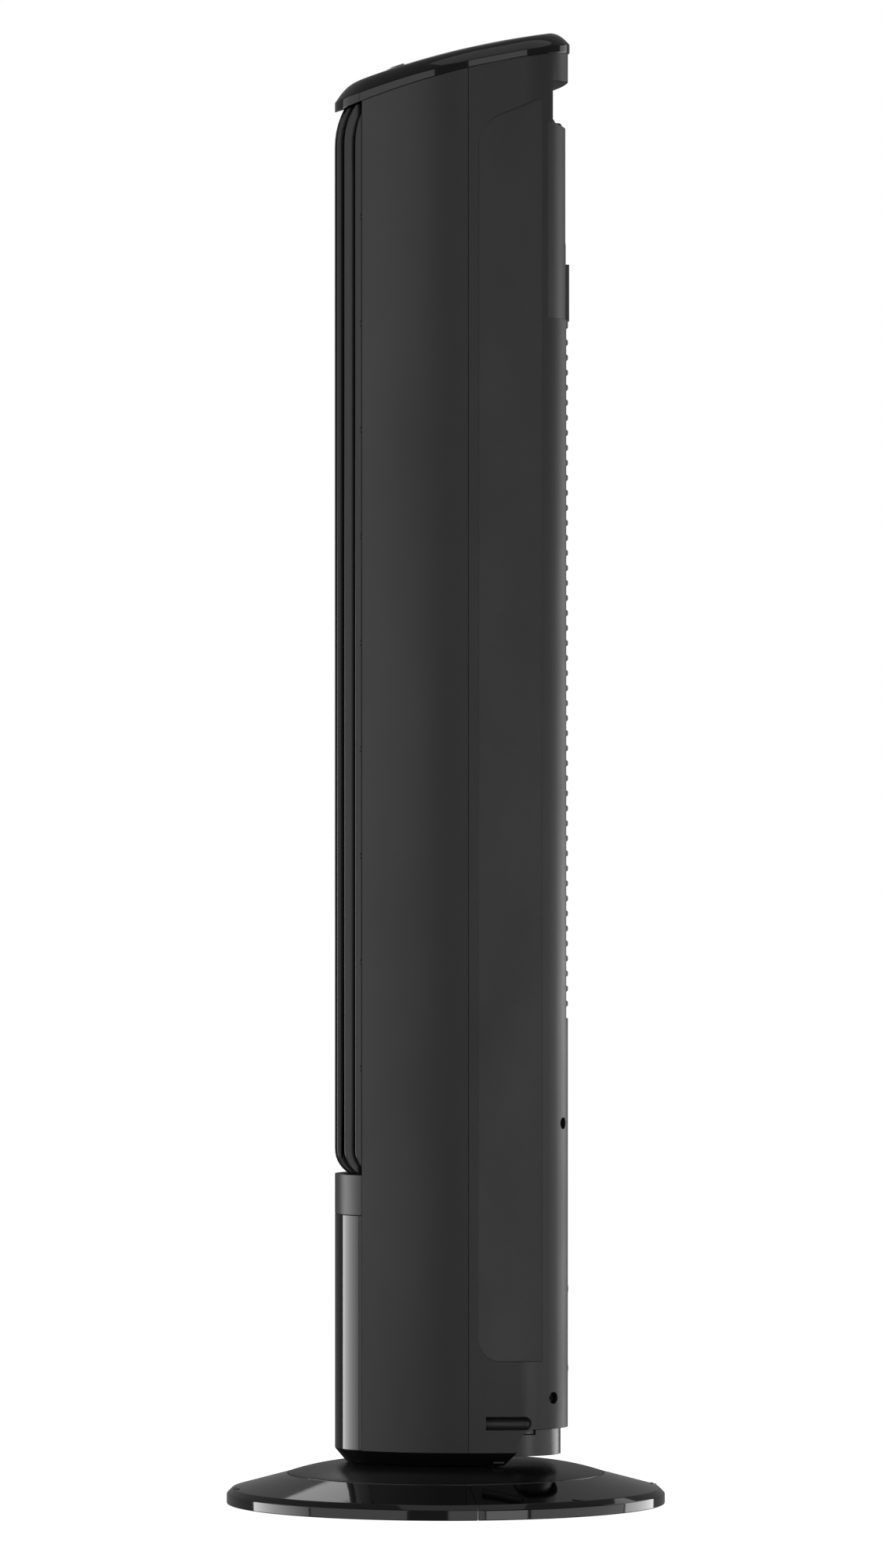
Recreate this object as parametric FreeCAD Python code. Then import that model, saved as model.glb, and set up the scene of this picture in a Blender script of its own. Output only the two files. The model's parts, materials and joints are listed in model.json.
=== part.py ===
import FreeCAD, Part

import math
import os

# Tower fan that swings on a round base.
# Millimetres. Origin: middle of the base's underside, on the axis that the tower swings about.
# +Z is up, the air outlet faces -Y, the carrying recess and the air intake face +Y.

V = FreeCAD.Vector

# ---- driving dimensions ----------------------------------------------------------------------

# base
base_radius = 161.2
foot_proud = 0.4
rim_height = 7.2
rim_bevel = 4.0
ring_inner_radius = 116.5
ring_slope_deg = 15.0
base_skin = 2.6
disc_edge_height = 2.6
disc_crown = 8.0
disc_shelf_drop = 2.3
foot_radius = 7.0
foot_recess = 1.5
foot_circle_radius = 147.0
feet_count = 6
rib_count = 5

# swivel
post_radius = 30.0
post_bore_radius = 14.0
post_flange_radius = 50.0
post_flange_thickness = 3.9
shoulder_radius = 36.0
running_clearance = 0.05
washer_thickness = 0.9
hub_radius = 36.5
hub_height = 15.1
post_screw_circle = 43.0
gear_screw_circle = 21.5

# swing gears
gear_module = 1.0
fixed_teeth = 60
pinion_teeth = 20
gear_width = 5.7
gear_flange = 1.2
gear_backlash = 0.16
pressure_angle_deg = 20.0

# tower plan outline
body_front = 81.9
body_rear = 86.5
nose_radius = 45.0
nose_half_angle_deg = 48.0
side_radius = 138.0
side_slope_deg = 6.4
side_flat_end = 44.0
rear_crown_radius = 434.0
seam_y = 6.7

# tower heights
tower_bottom = 31.5
skirt_height = 10.0
skirt_inset = 8.4
lower_panel_height = 171.8
band_height = 29.6
grille_height = 778.0

# cord inlet block and the screw places around it
block_inset = 5.4
block_neck_inset = 8.0
block_wall = 3.2
cord_bush_radius = 6.0
cord_lip = 1.1
cord_bore_radius = 3.7
cord_rise = 10.0
pillar_places = [(38.0, 24.0), (30.0, 66.0)]
rear_screw_spots = [(55.8, 281.0), (36.4, 81.0)]
screw_well_radius = 4.25
screw_well_depth = 6.0
side_slot_radius = 4.85
side_slot_z = 63.0
side_slot_front = 19.5
side_slot_length = 28.3
side_slot_sunk = 0.6
slot_pad_inset = 7.6
slot_pad_length = 37.0

# walls and gaps
wall = 2.6
seam_gap = 0.3
body_gap = 0.3
panel_thickness = 2.6
carrier_thickness = 2.2
deck_thickness = 3.0
deck_inset = 5.4
ledge_height = 6.0

# roof curves of the tower, seen from the side; heights are above the top of the grille
roof_radius = 595.0
roof_peak_y = 144.0
roof_peak_rise = 45.7
crest_radius = 612.0
crest_peak_y = 152.0
crest_peak_rise = 64.3
cap_overhang = 0.6
cap_wall = 2.8
cap_edge_round = 9.0
cap_solid_nose = 17.0

# front grille
fin_places = [6.6, 19.8, 30.8]
fin_thickness = 2.4
fin_tip_radius = 50.0
fin_back = 60.0
fin_foot_rise = 18.0
fin_foot_setback = 10.0
fin_head_drop = 24.0
fin_head_setback = 12.0
tie_bar_count = 9

# rear intake
intake_half_width = 50.0
intake_bottom = 352.0
intake_height = 516.0
intake_pitch = 11.0
intake_rib_height = 4.8
intake_rib_depth = 3.4
intake_recess = 1.0
intake_rib_round = 1.8

# carrying recess
notch_height = 30.0
notch_roof_above_grille = 21.5
notch_depth = 17.0
sill_front_drop = 1.6
sill_rear_drop = 5.0
pocket_half_width = 38.0
pocket_depth = 27.0
pocket_wall = 2.0

# side relief panels
relief_front = 14.2
relief_rear = 60.5
relief_bottom = 108.0
relief_top_front = 1010.0
relief_top_rear = 1029.0
relief_depth_front = 0.4
relief_depth_rear = 4.45
relief_corner = 16.0

# blower
wheel_y = 6.0
wheel_radius = 45.0
blade_inner_radius = 34.0
blade_count = 36
wheel_floor_gap = 17.0
wheel_roof_gap = 13.0
disc_thickness = 2.4
divider_count = 6
bush_holder_radius = 13.0
duct_mouth = (27.0, -58.0)
duct_wall = 2.0
shaft_radius = 4.0
motor_radius = 42.0
stator_height = 24.0
bell_height = 18.0

# swing motor
swing_motor_radius = 25.0
swing_motor_height = 19.5
swing_shaft_radius = 3.0
bracket_thickness = 2.5

# controls
control_y = -40.0
button_radius = 5.5
button_pitch = 18.0
lens_width = 40.0
lens_depth = 13.0
lens_offset = 24.0
board_depth = 16.0
board_posts = [(-31, -11), (31, -11), (-31, 32), (31, 32)]

# remote control and its holder
remote_width = 39.8
remote_height = 57.6
remote_thickness = 9.7
remote_wall = 1.5
remote_lift = 40.0
remote_key_radius = 3.5
holder_bottom = 868.4
holder_wall = 1.8
holder_back = 74.5
holder_floor = 2.7
pocket_front_height = 39.3
upper_rear_drop = 1.9
rear_pad_inset = 3.8
door_radius = 11.0
door_turn_deg = 35.0
lug_reach = 1.6
lug_half_width = 2.0

# ---- places worked out from them -------------------------------------------------------------

rim_top = foot_proud + rim_height
cone_foot_z = rim_top + rim_bevel
ring_width = base_radius - rim_bevel - ring_inner_radius
cone_top_z = cone_foot_z + ring_width * math.tan(math.radians(ring_slope_deg))
shelf_z = cone_top_z - disc_shelf_drop
disc_top_z = shelf_z + disc_edge_height + disc_crown
post_shoulder_z = disc_top_z + 0.1
washer_z = post_shoulder_z + 0.02
hub_seat_z = washer_z + washer_thickness + 0.1
hub_top_z = tower_bottom + hub_height
post_top_z = hub_top_z + 0.1
gear_z = post_top_z
gear_tooth_z = gear_z + gear_flange
gear_top_z = gear_tooth_z + gear_width
pinion_z = gear_tooth_z + 0.4
axle_distance = gear_module * (fixed_teeth + pinion_teeth) / 2
bracket_z = gear_top_z + 6.5
swing_motor_z = bracket_z + bracket_thickness

housing_bottom = tower_bottom + skirt_height
band_bottom = housing_bottom + lower_panel_height
band_top = band_bottom + band_height
grille_top = band_top + grille_height
motor_deck_z = band_top - 11.0
top_deck_z = grille_top - 21.0
wheel_bottom_z = motor_deck_z + deck_thickness + wheel_floor_gap
wheel_top_z = top_deck_z - wheel_roof_gap
motor_top_z = motor_deck_z - 0.1
notch_roof = grille_top + notch_roof_above_grille
notch_floor = notch_roof - notch_height
notch_y = body_rear - notch_depth
pocket_floor = notch_floor + 0.6
block_bottom = tower_bottom + 7.3
arch_top = tower_bottom + 27.0
arch_front = 42.0
arch_round = 14.0
cord_z = block_bottom + cord_rise
slot_pad_bottom = side_slot_z - 8
cord_wall_y = body_rear - block_inset
duct_z0 = motor_deck_z + deck_thickness + 0.1
duct_z1 = top_deck_z - ledge_height - 0.1
deck_front = -fin_back + 2.5
control_tilt = math.asin((crest_peak_y - control_y) / crest_radius)
holder_half_width = remote_width / 2 + body_gap + holder_wall
holder_top = holder_bottom + remote_lift + remote_height + 7
remote_z = holder_bottom + holder_floor + body_gap
remote_top = remote_z + remote_height
remote_back = holder_back + holder_wall + body_gap
remote_face = remote_back + remote_thickness
remote_split = remote_back + remote_thickness / 2
door_z = remote_z + remote_height / 2

nose_centre_y = nose_radius - body_front
nose_angle = math.radians(nose_half_angle_deg)
side_angle = math.radians(side_slope_deg)


def polar(radius, angle, centre=(0.0, 0.0)):
    return (centre[0] + radius * math.cos(angle), centre[1] + radius * math.sin(angle))


# Angles of the outline's outward normals, from +X towards +Y, where its arcs meet.
normal_nose = nose_angle - math.pi / 2
normal_side = -side_angle
nose_end = polar(nose_radius, normal_nose, (0.0, nose_centre_y))
side_centre = polar(-side_radius, normal_nose, nose_end)
side_end = polar(side_radius, normal_side, side_centre)
flat_end = (side_end[0] + (side_flat_end - side_end[1]) * math.tan(side_angle), side_flat_end)
rear_centre_y = body_rear - rear_crown_radius


def corner_radius_from_tangency():
    """Radius of the rear corner arc, tangent to the flat side and to the crowned rear."""
    dx = flat_end[0]
    dy = flat_end[1] - rear_centre_y
    along = dx * math.cos(normal_side) + dy * math.sin(normal_side)
    return (rear_crown_radius ** 2 - dx * dx - dy * dy) / (2 * (rear_crown_radius - along))


corner_radius = corner_radius_from_tangency()
corner_centre = polar(-corner_radius, normal_side, flat_end)
normal_rear = math.atan2(corner_centre[1] - rear_centre_y, corner_centre[0])


# ---- solid helpers ---------------------------------------------------------------------------

def box(x0, x1, y0, y1, z0, z1):
    return Part.makeBox(x1 - x0, y1 - y0, z1 - z0, V(x0, y0, z0))


def rod(radius, z0, z1, x=0.0, y=0.0):
    return Part.makeCylinder(radius, z1 - z0, V(x, y, z0))


def tube(outer, inner, z0, z1, x=0.0, y=0.0):
    return rod(outer, z0, z1, x, y).cut(rod(inner, z0 - 1, z1 + 1, x, y))


def fused(shapes):
    if len(shapes) == 1:
        return shapes[0]
    return shapes[0].multiFuse(shapes[1:]).removeSplitter()


def both_sides(shape):
    return [shape, shape.mirror(V(0, 0, 0), V(1, 0, 0))]


def face_of(points, at):
    """Flat polygon face; at turns each pair of numbers into a point in space."""
    corners = [at(p) for p in points]
    return Part.Face(Part.makePolygon(corners + corners[:1]))


def plan(p):
    return V(p[0], p[1], 0)


def side_view(p):
    return V(0, p[0], p[1])


def arc(a, b, c):
    return Part.Arc(a, b, c).toShape()


def side_prism(face, half_width=120.0):
    """A side-view face in the YZ plane, extruded both ways along X."""
    return face.translated(V(-half_width, 0, 0)).extrude(V(2 * half_width, 0, 0))


def revolved(points):
    """A turned ring or disc from (radius, height) corners."""
    return face_of(points, lambda p: V(p[0], 0, p[1])).revolve(V(0, 0, 0), V(0, 0, 1), 360)


def circle_of(shape, count, first_deg=0.0):
    return [shape.rotated(V(0, 0, 0), V(0, 0, 1), first_deg + i * 360.0 / count) for i in range(count)]


# ---- the tower's outline ---------------------------------------------------------------------

def outline(inset=0.0):
    """Plan outline of the tower, moved inward by inset, as one closed wire."""
    nose_mid = V(0, nose_centre_y - nose_radius + inset, 0)
    nose = plan(polar(nose_radius - inset, normal_nose, (0.0, nose_centre_y)))
    side_mid = plan(polar(side_radius - inset, (normal_nose + normal_side) / 2, side_centre))
    side = plan(polar(side_radius - inset, normal_side, side_centre))
    flat = plan(polar(-inset, normal_side, flat_end))
    corner_mid = plan(polar(corner_radius - inset, (normal_side + normal_rear) / 2, corner_centre))
    corner = plan(polar(corner_radius - inset, normal_rear, corner_centre))
    rear_mid = V(0, body_rear - inset, 0)

    def left(p):
        return V(-p.x, p.y, 0)

    edges = [
        arc(left(nose), nose_mid, nose),
        arc(nose, side_mid, side),
        Part.makeLine(side, flat),
        arc(flat, corner_mid, corner),
        arc(corner, rear_mid, left(corner)),
        arc(left(corner), left(corner_mid), left(flat)),
        Part.makeLine(left(flat), left(side)),
        arc(left(side), left(side_mid), left(nose)),
    ]
    return Part.Wire(edges)


def prism(inset, z0, z1):
    return Part.Face(outline(inset)).translated(V(0, 0, z0)).extrude(V(0, 0, z1 - z0))


def shell(outer_inset, inner_inset, z0, z1):
    return prism(outer_inset, z0, z1).cut(prism(inner_inset, z0 - 1, z1 + 1))


def nose_wedge(half_angle_deg, z0, z1, reach=90.0):
    """The sector in front of the nose arc's centre."""
    a = math.radians(half_angle_deg)
    tip = (0.0, nose_centre_y)
    points = [tip]
    for turn in (-a, 0.0, a):
        points.append((reach * math.sin(turn), nose_centre_y - reach * math.cos(turn)))
    return face_of(points, plan).translated(V(0, 0, z0)).extrude(V(0, 0, z1 - z0))


def nose_shell(outer_inset, inner_inset, z0, z1, half_angle_deg):
    return shell(outer_inset, inner_inset, z0, z1).common(nose_wedge(half_angle_deg, z0 - 1, z1 + 1))


def roof(lowered=0.0):
    """The cylinder whose top is the line between the housings and the cap."""
    centre = V(-120, roof_peak_y, grille_top + roof_peak_rise - roof_radius)
    return Part.makeCylinder(roof_radius - lowered, 240, centre, V(1, 0, 0))


def crest(lowered=0.0):
    """The ball whose top is the cap's domed crest."""
    centre = V(0, crest_peak_y, grille_top + crest_peak_rise - crest_radius)
    return Part.makeSphere(crest_radius - lowered, centre)


def above(form):
    """What lies over the roof or the crest, near the tower's top."""
    return box(-110, 110, -110, 110, grille_top - 25, grille_top + 100).cut(form)


def crest_z(x, y):
    centre_z = grille_top + crest_peak_rise - crest_radius
    return centre_z + math.sqrt(crest_radius ** 2 - x ** 2 - (y - crest_peak_y) ** 2)


# ---- base ------------------------------------------------------------------------------------

def base_ring():
    """The whole base moulding before it is cut into its two halves."""
    bevel_r = base_radius - rim_bevel
    skin = revolved([
        (base_radius, foot_proud),
        (base_radius, rim_top),
        (bevel_r, cone_foot_z),
        (ring_inner_radius, cone_top_z),
        (ring_inner_radius, shelf_z),
        (post_bore_radius + 2, shelf_z),
        (post_bore_radius + 2, shelf_z - base_skin),
        (ring_inner_radius - 3, shelf_z - base_skin),
        (bevel_r - 1.4, cone_foot_z - base_skin),
        (base_radius - base_skin, rim_top - 1.0),
        (base_radius - base_skin, foot_proud),
    ])
    rib_face = face_of([
        (post_flange_radius, foot_proud + 4),
        (base_radius - 1.5, foot_proud + 4),
        (bevel_r - 1, cone_foot_z - 1),
        (ring_inner_radius - 2, shelf_z - 1),
        (post_flange_radius, shelf_z - 1),
    ], lambda p: V(p[0], -1, p[1]))
    rib = rib_face.extrude(V(0, 2, 0))
    ribs = circle_of(rib, 2 * rib_count, 180.0 / (2 * rib_count))
    hoop = tube(post_flange_radius + 1, post_flange_radius - 1, foot_proud + 4, shelf_z - 1)
    boss = rod(foot_radius + 2, foot_proud, cone_foot_z + 1, foot_circle_radius)
    bosses = circle_of(boss, feet_count, 180.0 / feet_count)
    ring = fused([skin, hoop] + ribs + bosses)
    recess = rod(foot_radius + 0.1, foot_proud - 1, foot_proud + foot_recess + 0.1, foot_circle_radius)
    for cutter in circle_of(recess, feet_count, 180.0 / feet_count):
        ring = ring.cut(cutter)
    hole = rod(2.2, foot_proud, shelf_z + 1, post_screw_circle)
    for cutter in circle_of(hole, 4, 45):
        ring = ring.cut(cutter)
    return ring


def base_half(ring, sign):
    reach = base_radius + 5
    half = box(-reach, reach, seam_gap / 2, reach, 0, cone_top_z + 1)
    if sign < 0:
        half = half.mirror(V(0, 0, 0), V(0, 1, 0))
    return ring.common(half)


def base_top_disc():
    """Domed cover that drops onto the base's shelf around the post."""
    rim_r = ring_inner_radius - 0.6
    edge_z = shelf_z + disc_edge_height
    hole_r = shoulder_radius + 0.4
    flat_r = hole_r + 26

    def section(lift, shrink):
        start = V(rim_r - shrink, 0, edge_z + lift)
        middle = V((rim_r + flat_r) / 2, 0, edge_z + disc_crown * 0.78 + lift)
        end = V(flat_r, 0, disc_top_z + lift)
        return start, middle, end

    top_start, top_mid, top_end = section(0.0, 0.0)
    low_start, low_mid, low_end = section(-2.3, 2.3)
    edges = [
        arc(top_start, top_mid, top_end),
        Part.makeLine(top_end, V(hole_r, 0, disc_top_z)),
        Part.makeLine(V(hole_r, 0, disc_top_z), V(hole_r, 0, disc_top_z - 2.3)),
        Part.makeLine(V(hole_r, 0, disc_top_z - 2.3), low_end),
        arc(low_end, low_mid, low_start),
        Part.makeLine(low_start, V(rim_r - 2.3, 0, shelf_z + 0.05)),
        Part.makeLine(V(rim_r - 2.3, 0, shelf_z + 0.05), V(rim_r, 0, shelf_z + 0.05)),
        Part.makeLine(V(rim_r, 0, shelf_z + 0.05), top_start),
    ]
    return Part.Face(Part.Wire(edges)).revolve(V(0, 0, 0), V(0, 0, 1), 360)


def swivel_post():
    flange_z = shelf_z + 0.05
    post = fused([
        rod(post_flange_radius - 1, flange_z, flange_z + post_flange_thickness),
        rod(shoulder_radius, flange_z, post_shoulder_z),
        rod(post_radius, flange_z, post_top_z),
    ])
    post = post.cut(rod(post_bore_radius, flange_z - 1, post_top_z + 1))
    for hole in circle_of(rod(2.05, flange_z - 1, flange_z + 3.2, post_screw_circle), 4, 45):
        post = post.cut(hole)
    for hole in circle_of(rod(1.8, post_top_z - 10, post_top_z + 1, gear_screw_circle), 3, 90):
        post = post.cut(hole)
    return post


def thrust_washer():
    return tube(shoulder_radius, post_radius + 0.3, washer_z, washer_z + washer_thickness)


def screw(shank_radius, length, head_radius, head_height):
    """Pan-head screw pointing down, its seat at z = 0, with a cross recess."""
    head = rod(head_radius, 0, head_height)
    shank = rod(shank_radius, -length, 0.2)
    body = head.fuse(shank).removeSplitter()
    slot = box(-head_radius * 0.6, head_radius * 0.6, -0.4, 0.4, head_height * 0.45, head_height + 1)
    return body.cut(slot).cut(slot.rotated(V(0, 0, 0), V(0, 0, 1), 90))


def post_screws():
    one = screw(2.0, 5.4, 4.0, 2.6).mirror(V(0, 0, 0), V(0, 0, 1))
    one = one.translated(V(post_screw_circle, 0, shelf_z - base_skin - 0.02))
    return Part.makeCompound(circle_of(one, 4, 45))


def rubber_feet():
    foot = rod(foot_radius, 0, foot_proud + foot_recess, foot_circle_radius)
    return Part.makeCompound(circle_of(foot, feet_count, 180.0 / feet_count))


# ---- swing gears -----------------------------------------------------------------------------

def involute_point(base_r, roll, start):
    angle = start + roll - math.atan(roll)
    return polar(base_r * math.hypot(1.0, roll), angle)


def tooth_flank(teeth, side):
    """One involute flank of the tooth centred on +X, as points from root to tip."""
    pitch_r = gear_module * teeth / 2
    base_r = pitch_r * math.cos(math.radians(pressure_angle_deg))
    tip_r = pitch_r + 0.9 * gear_module
    root_r = pitch_r - 1.25 * gear_module
    half_tooth = math.pi / (2 * teeth) - gear_backlash / (2 * pitch_r)
    pitch_roll = math.tan(math.radians(pressure_angle_deg))
    start = -half_tooth - (pitch_roll - math.atan(pitch_roll))
    low_roll = 0.02
    if root_r > base_r:
        low_roll = math.sqrt((root_r / base_r) ** 2 - 1)
    tip_roll = math.sqrt((tip_r / base_r) ** 2 - 1)
    steps = 5
    points = []
    for i in range(steps + 1):
        roll = low_roll + (tip_roll - low_roll) * i / steps
        x, y = involute_point(base_r, roll, start)
        points.append((x, side * y))
    if root_r < base_r:
        angle = math.atan2(points[0][1], points[0][0])
        points.insert(0, polar(root_r, angle))
    return points


def gear(teeth, width, bore, z, turn_deg):
    """Spur gear from straight-sided steps along true involutes."""
    right = tooth_flank(teeth, 1)
    left = tooth_flank(teeth, -1)
    points = []
    for i in range(teeth):
        turn = 2 * math.pi * i / teeth + math.radians(turn_deg)
        for x, y in right + left[::-1]:
            points.append((x * math.cos(turn) - y * math.sin(turn), x * math.sin(turn) + y * math.cos(turn)))
    blank = face_of(points, plan).translated(V(0, 0, z)).extrude(V(0, 0, width))
    return blank.cut(rod(bore, z - 1, z + width + 1))


def fixed_gear():
    teeth = gear(fixed_teeth, gear_width, post_bore_radius, gear_tooth_z, 0)
    flange = tube(post_radius + 4, post_bore_radius, gear_z + 0.05, gear_tooth_z + 0.2)
    body = fused([teeth, flange])
    for hole in circle_of(rod(2.1, gear_z - 1, gear_top_z + 1, gear_screw_circle), 3, 90):
        body = body.cut(hole)
    return body


def retaining_washer():
    washer = tube(gear_screw_circle + 4.5, post_bore_radius, gear_top_z + 0.02, gear_top_z + 1.6)
    for hole in circle_of(rod(2.1, gear_top_z - 1, gear_top_z + 3, gear_screw_circle), 3, 90):
        washer = washer.cut(hole)
    return washer


def gear_screws():
    one = screw(1.7, 15.0, 3.6, 2.4).translated(V(gear_screw_circle, 0, gear_top_z + 1.65))
    return Part.makeCompound(circle_of(one, 3, 90))


def swing_pinion():
    """Its gap between two teeth faces the fixed gear's tooth on +Y."""
    turn = -90.0 + 180.0 / pinion_teeth
    body = gear(pinion_teeth, gear_width - 0.8, swing_shaft_radius + 0.02, pinion_z, turn)
    return body.translated(V(0, axle_distance, 0))


def swing_motor_shaft():
    return rod(swing_shaft_radius, pinion_z - 0.6, swing_motor_z + 4, 0, axle_distance)


def swing_motor():
    y = axle_distance
    can = rod(swing_motor_radius, swing_motor_z + 0.05, swing_motor_z + swing_motor_height, 0, y)
    boss = rod(7, bracket_z + 0.2, swing_motor_z + 1, 0, y)
    ear_reach = swing_motor_radius + 8
    ear = box(-ear_reach, ear_reach, y - 5, y + 5, swing_motor_z + 0.05, swing_motor_z + 1.5)
    terminal = box(-8, 8, y - swing_motor_radius - 4, y - 10, swing_motor_z + 6, swing_motor_z + 15)
    body = fused([can, boss, ear, terminal])
    return body.cut(rod(swing_shaft_radius + running_clearance, bracket_z - 1, swing_motor_z + 6, 0, y))


def swing_motor_bracket():
    plate = box(-45, 45, 16, 73, bracket_z, swing_motor_z)
    plate = plate.makeFillet(6, [e for e in plate.Edges if abs(e.tangentAt(e.FirstParameter).z) > 0.9])
    plate = plate.cut(rod(7.3, bracket_z - 1, swing_motor_z + 1, 0, axle_distance))
    for x, y in pillar_places:
        for side in (-1, 1):
            plate = plate.cut(rod(2.2, bracket_z - 1, swing_motor_z + 1, side * x, y))
    return plate


def bracket_screws():
    one = screw(1.7, 10.0, 3.6, 2.4)
    screws = []
    for x, y in pillar_places:
        for side in (-1, 1):
            screws.append(one.translated(V(side * x, y, swing_motor_z + 0.02)))
    return Part.makeCompound(screws)


# ---- lower closing pan -----------------------------------------------------------------------

def skirt_solid(grow, z0, z1):
    """Chamfered foot of the tower; grow moves its faces inward for the hollow."""
    low = outline(skirt_inset + grow).translated(V(0, 0, z0))
    high = outline(grow).translated(V(0, 0, z1))
    return Part.makeLoft([low, high], True, True)


def bottom_pan():
    plate_z = tower_bottom + 2.8
    skirt = skirt_solid(0.0, tower_bottom, housing_bottom - 0.1)
    hollow = skirt_solid(wall, plate_z, housing_bottom)
    slant = face_of([
        (arch_front - skirt_inset, tower_bottom - 0.01),
        (arch_front, housing_bottom),
        (arch_front, housing_bottom + 5),
        (body_rear + 20, housing_bottom + 5),
        (body_rear + 20, tower_bottom - 0.01),
    ], side_view)
    skirt = skirt.cut(hollow).cut(side_prism(slant))
    block_y = arch_front - skirt_inset - 8
    block_top = arch_top - 0.3
    pad_zone = box(-100, 100, block_y, side_slot_front + slot_pad_length, slot_pad_bottom - 0.4, arch_top + 3)
    neck_inner = block_neck_inset + wall
    block = fused([
        prism(block_inset, block_bottom, block_bottom + wall),
        shell(block_inset, block_inset + block_wall, block_bottom, block_top),
        shell(block_inset, neck_inner, block_top - 2, block_top),
        shell(block_neck_inset, neck_inner, block_top - 2, arch_top + 2),
    ])
    block = block.cut(shell(0.0, block_neck_inset, slot_pad_bottom - 1, arch_top + 4).common(pad_zone))
    front_neck = shell(block_neck_inset, neck_inner, slot_pad_bottom - 3, arch_top + 2)
    block = fused([block, front_neck.common(pad_zone.fuse(pad_zone.translated(V(0, 0, -3))))])
    block = block.common(box(-100, 100, block_y, 100, block_bottom - 1, arch_top + 3))
    sill = prism(block_inset, plate_z - 1.0, block_bottom + wall)
    sill = sill.common(box(-100, 100, block_y, arch_front - skirt_inset, plate_z - 1.0, block_bottom + wall))
    hub = rod(hub_radius, tower_bottom, hub_top_z)
    pillars = []
    for x, y in pillar_places:
        for side in (-1, 1):
            pillars.append(rod(5, plate_z - 0.5, bracket_z - 0.02, side * x, y))
    rear_floor = box(-100, 100, arch_front, 100, tower_bottom, block_bottom)
    pan = fused([skirt, block, sill, hub] + pillars).cut(rear_floor)
    pan = pan.cut(rod(shoulder_radius + 0.6, tower_bottom - 1, hub_seat_z))
    pan = pan.cut(rod(post_radius + running_clearance, tower_bottom - 1, hub_top_z + 1))
    for x, y in pillar_places:
        for side in (-1, 1):
            pan = pan.cut(rod(1.75, bracket_z - 12, bracket_z + 1, side * x, y))
    return pan.cut(cord_hole(cord_bush_radius))


def cord_hole(radius):
    return Part.makeCylinder(radius, 30, V(0, cord_wall_y - 15, cord_z), V(0, 1, 0))


def cord_inlet_bush():
    """Grommet that lines the hole where the mains cord enters."""
    wall_in = cord_wall_y - block_wall
    lip_radius = cord_bush_radius + cord_lip
    sleeve_foot = V(0, wall_in - 2, cord_z)
    sleeve = Part.makeCylinder(cord_bush_radius - 0.05, block_wall + 3.4, sleeve_foot, V(0, 1, 0))
    inner_lip = Part.makeCylinder(lip_radius, 1.7, V(0, wall_in - 2, cord_z), V(0, 1, 0))
    outer_lip = Part.makeCylinder(lip_radius, 1.3, V(0, cord_wall_y + 0.1, cord_z), V(0, 1, 0))
    return fused([sleeve, inner_lip, outer_lip]).cut(cord_hole(cord_bore_radius))


# ---- housings --------------------------------------------------------------------------------

def deck_ledges(deck_z, y0, y1):
    """Blocks inside the side walls that a deck rests on."""
    ledge = box(54, 80, y0, y1, deck_z - ledge_height, deck_z - 0.05)
    ledge = ledge.common(prism(wall - 0.3, deck_z - ledge_height - 1, deck_z + 1))
    return both_sides(ledge)


def trim_to_roof(shape):
    return shape.cut(above(roof(0.1)))


def front_housing():
    z1 = grille_top + 60
    walls = shell(0.0, wall, housing_bottom, z1)
    walls = walls.common(box(-100, 100, -100, seam_y - seam_gap / 2, housing_bottom, z1))
    walls = walls.cut(nose_wedge(nose_half_angle_deg + 0.2, housing_bottom - 1, z1 + 1))
    carrier_in = panel_thickness + seam_gap
    carrier_out = carrier_in + carrier_thickness
    carrier_top = band_top - deck_thickness
    carrier = nose_shell(carrier_in, carrier_out, housing_bottom, carrier_top, 56)
    jambs = nose_shell(wall - 0.3, carrier_out, housing_bottom, grille_top, 56)
    jambs = jambs.cut(nose_wedge(nose_half_angle_deg + 1, housing_bottom - 1, grille_top + 1))
    web = prism(wall - 0.3, top_deck_z + deck_thickness + 0.5, z1)
    web = web.common(box(-100, 100, -52, -49.5, top_deck_z, z1))
    parts = [walls, carrier, jambs, web]
    parts += deck_ledges(motor_deck_z, -20, -8)
    parts += deck_ledges(top_deck_z, -20, -8)
    return trim_to_roof(fused(parts))


def relief_cutter():
    """Shallow slanted panel sunk into the right-hand flat side."""
    out = V(math.cos(normal_side), math.sin(normal_side), 0)
    top_slope = (relief_top_rear - relief_top_front) / (relief_rear - relief_front)
    depth_slope = (relief_depth_rear - relief_depth_front) / (relief_rear - relief_front)

    def at(y, z):
        x = flat_end[0] - (flat_end[1] - y) * math.tan(side_angle)
        depth = relief_depth_front + depth_slope * (y - relief_front)
        return V(x, y, z) - out * depth

    r = relief_corner
    k = r * (1 - math.sqrt(0.5))
    low_in = at(relief_front, relief_bottom + r)
    low_mid = at(relief_front + k, relief_bottom + k)
    low_out = at(relief_front + r, relief_bottom)
    corner_low = at(relief_rear, relief_bottom)
    corner_high = at(relief_rear, relief_top_rear)
    high_out = at(relief_front + r, relief_top_front + top_slope * r)
    high_mid = at(relief_front + 0.26 * r, relief_top_front - 0.18 * r)
    high_in = at(relief_front, relief_top_front - r)
    wire = Part.Wire([
        arc(low_in, low_mid, low_out),
        Part.makeLine(low_out, corner_low),
        Part.makeLine(corner_low, corner_high),
        Part.makeLine(corner_high, high_out),
        arc(high_out, high_mid, high_in),
        Part.makeLine(high_in, low_in),
    ])
    return Part.Face(wire).extrude(out * 12)


def rear_screw_place(angle_deg):
    """Surface point and outward direction on the rear corner arc."""
    a = math.radians(angle_deg)
    point = polar(corner_radius, a, corner_centre)
    return V(point[0], point[1], 0), V(math.cos(a), math.sin(a), 0)


def along(point, direction, radius, start, length):
    return Part.makeCylinder(radius, length, point + direction * start, direction)


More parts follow.
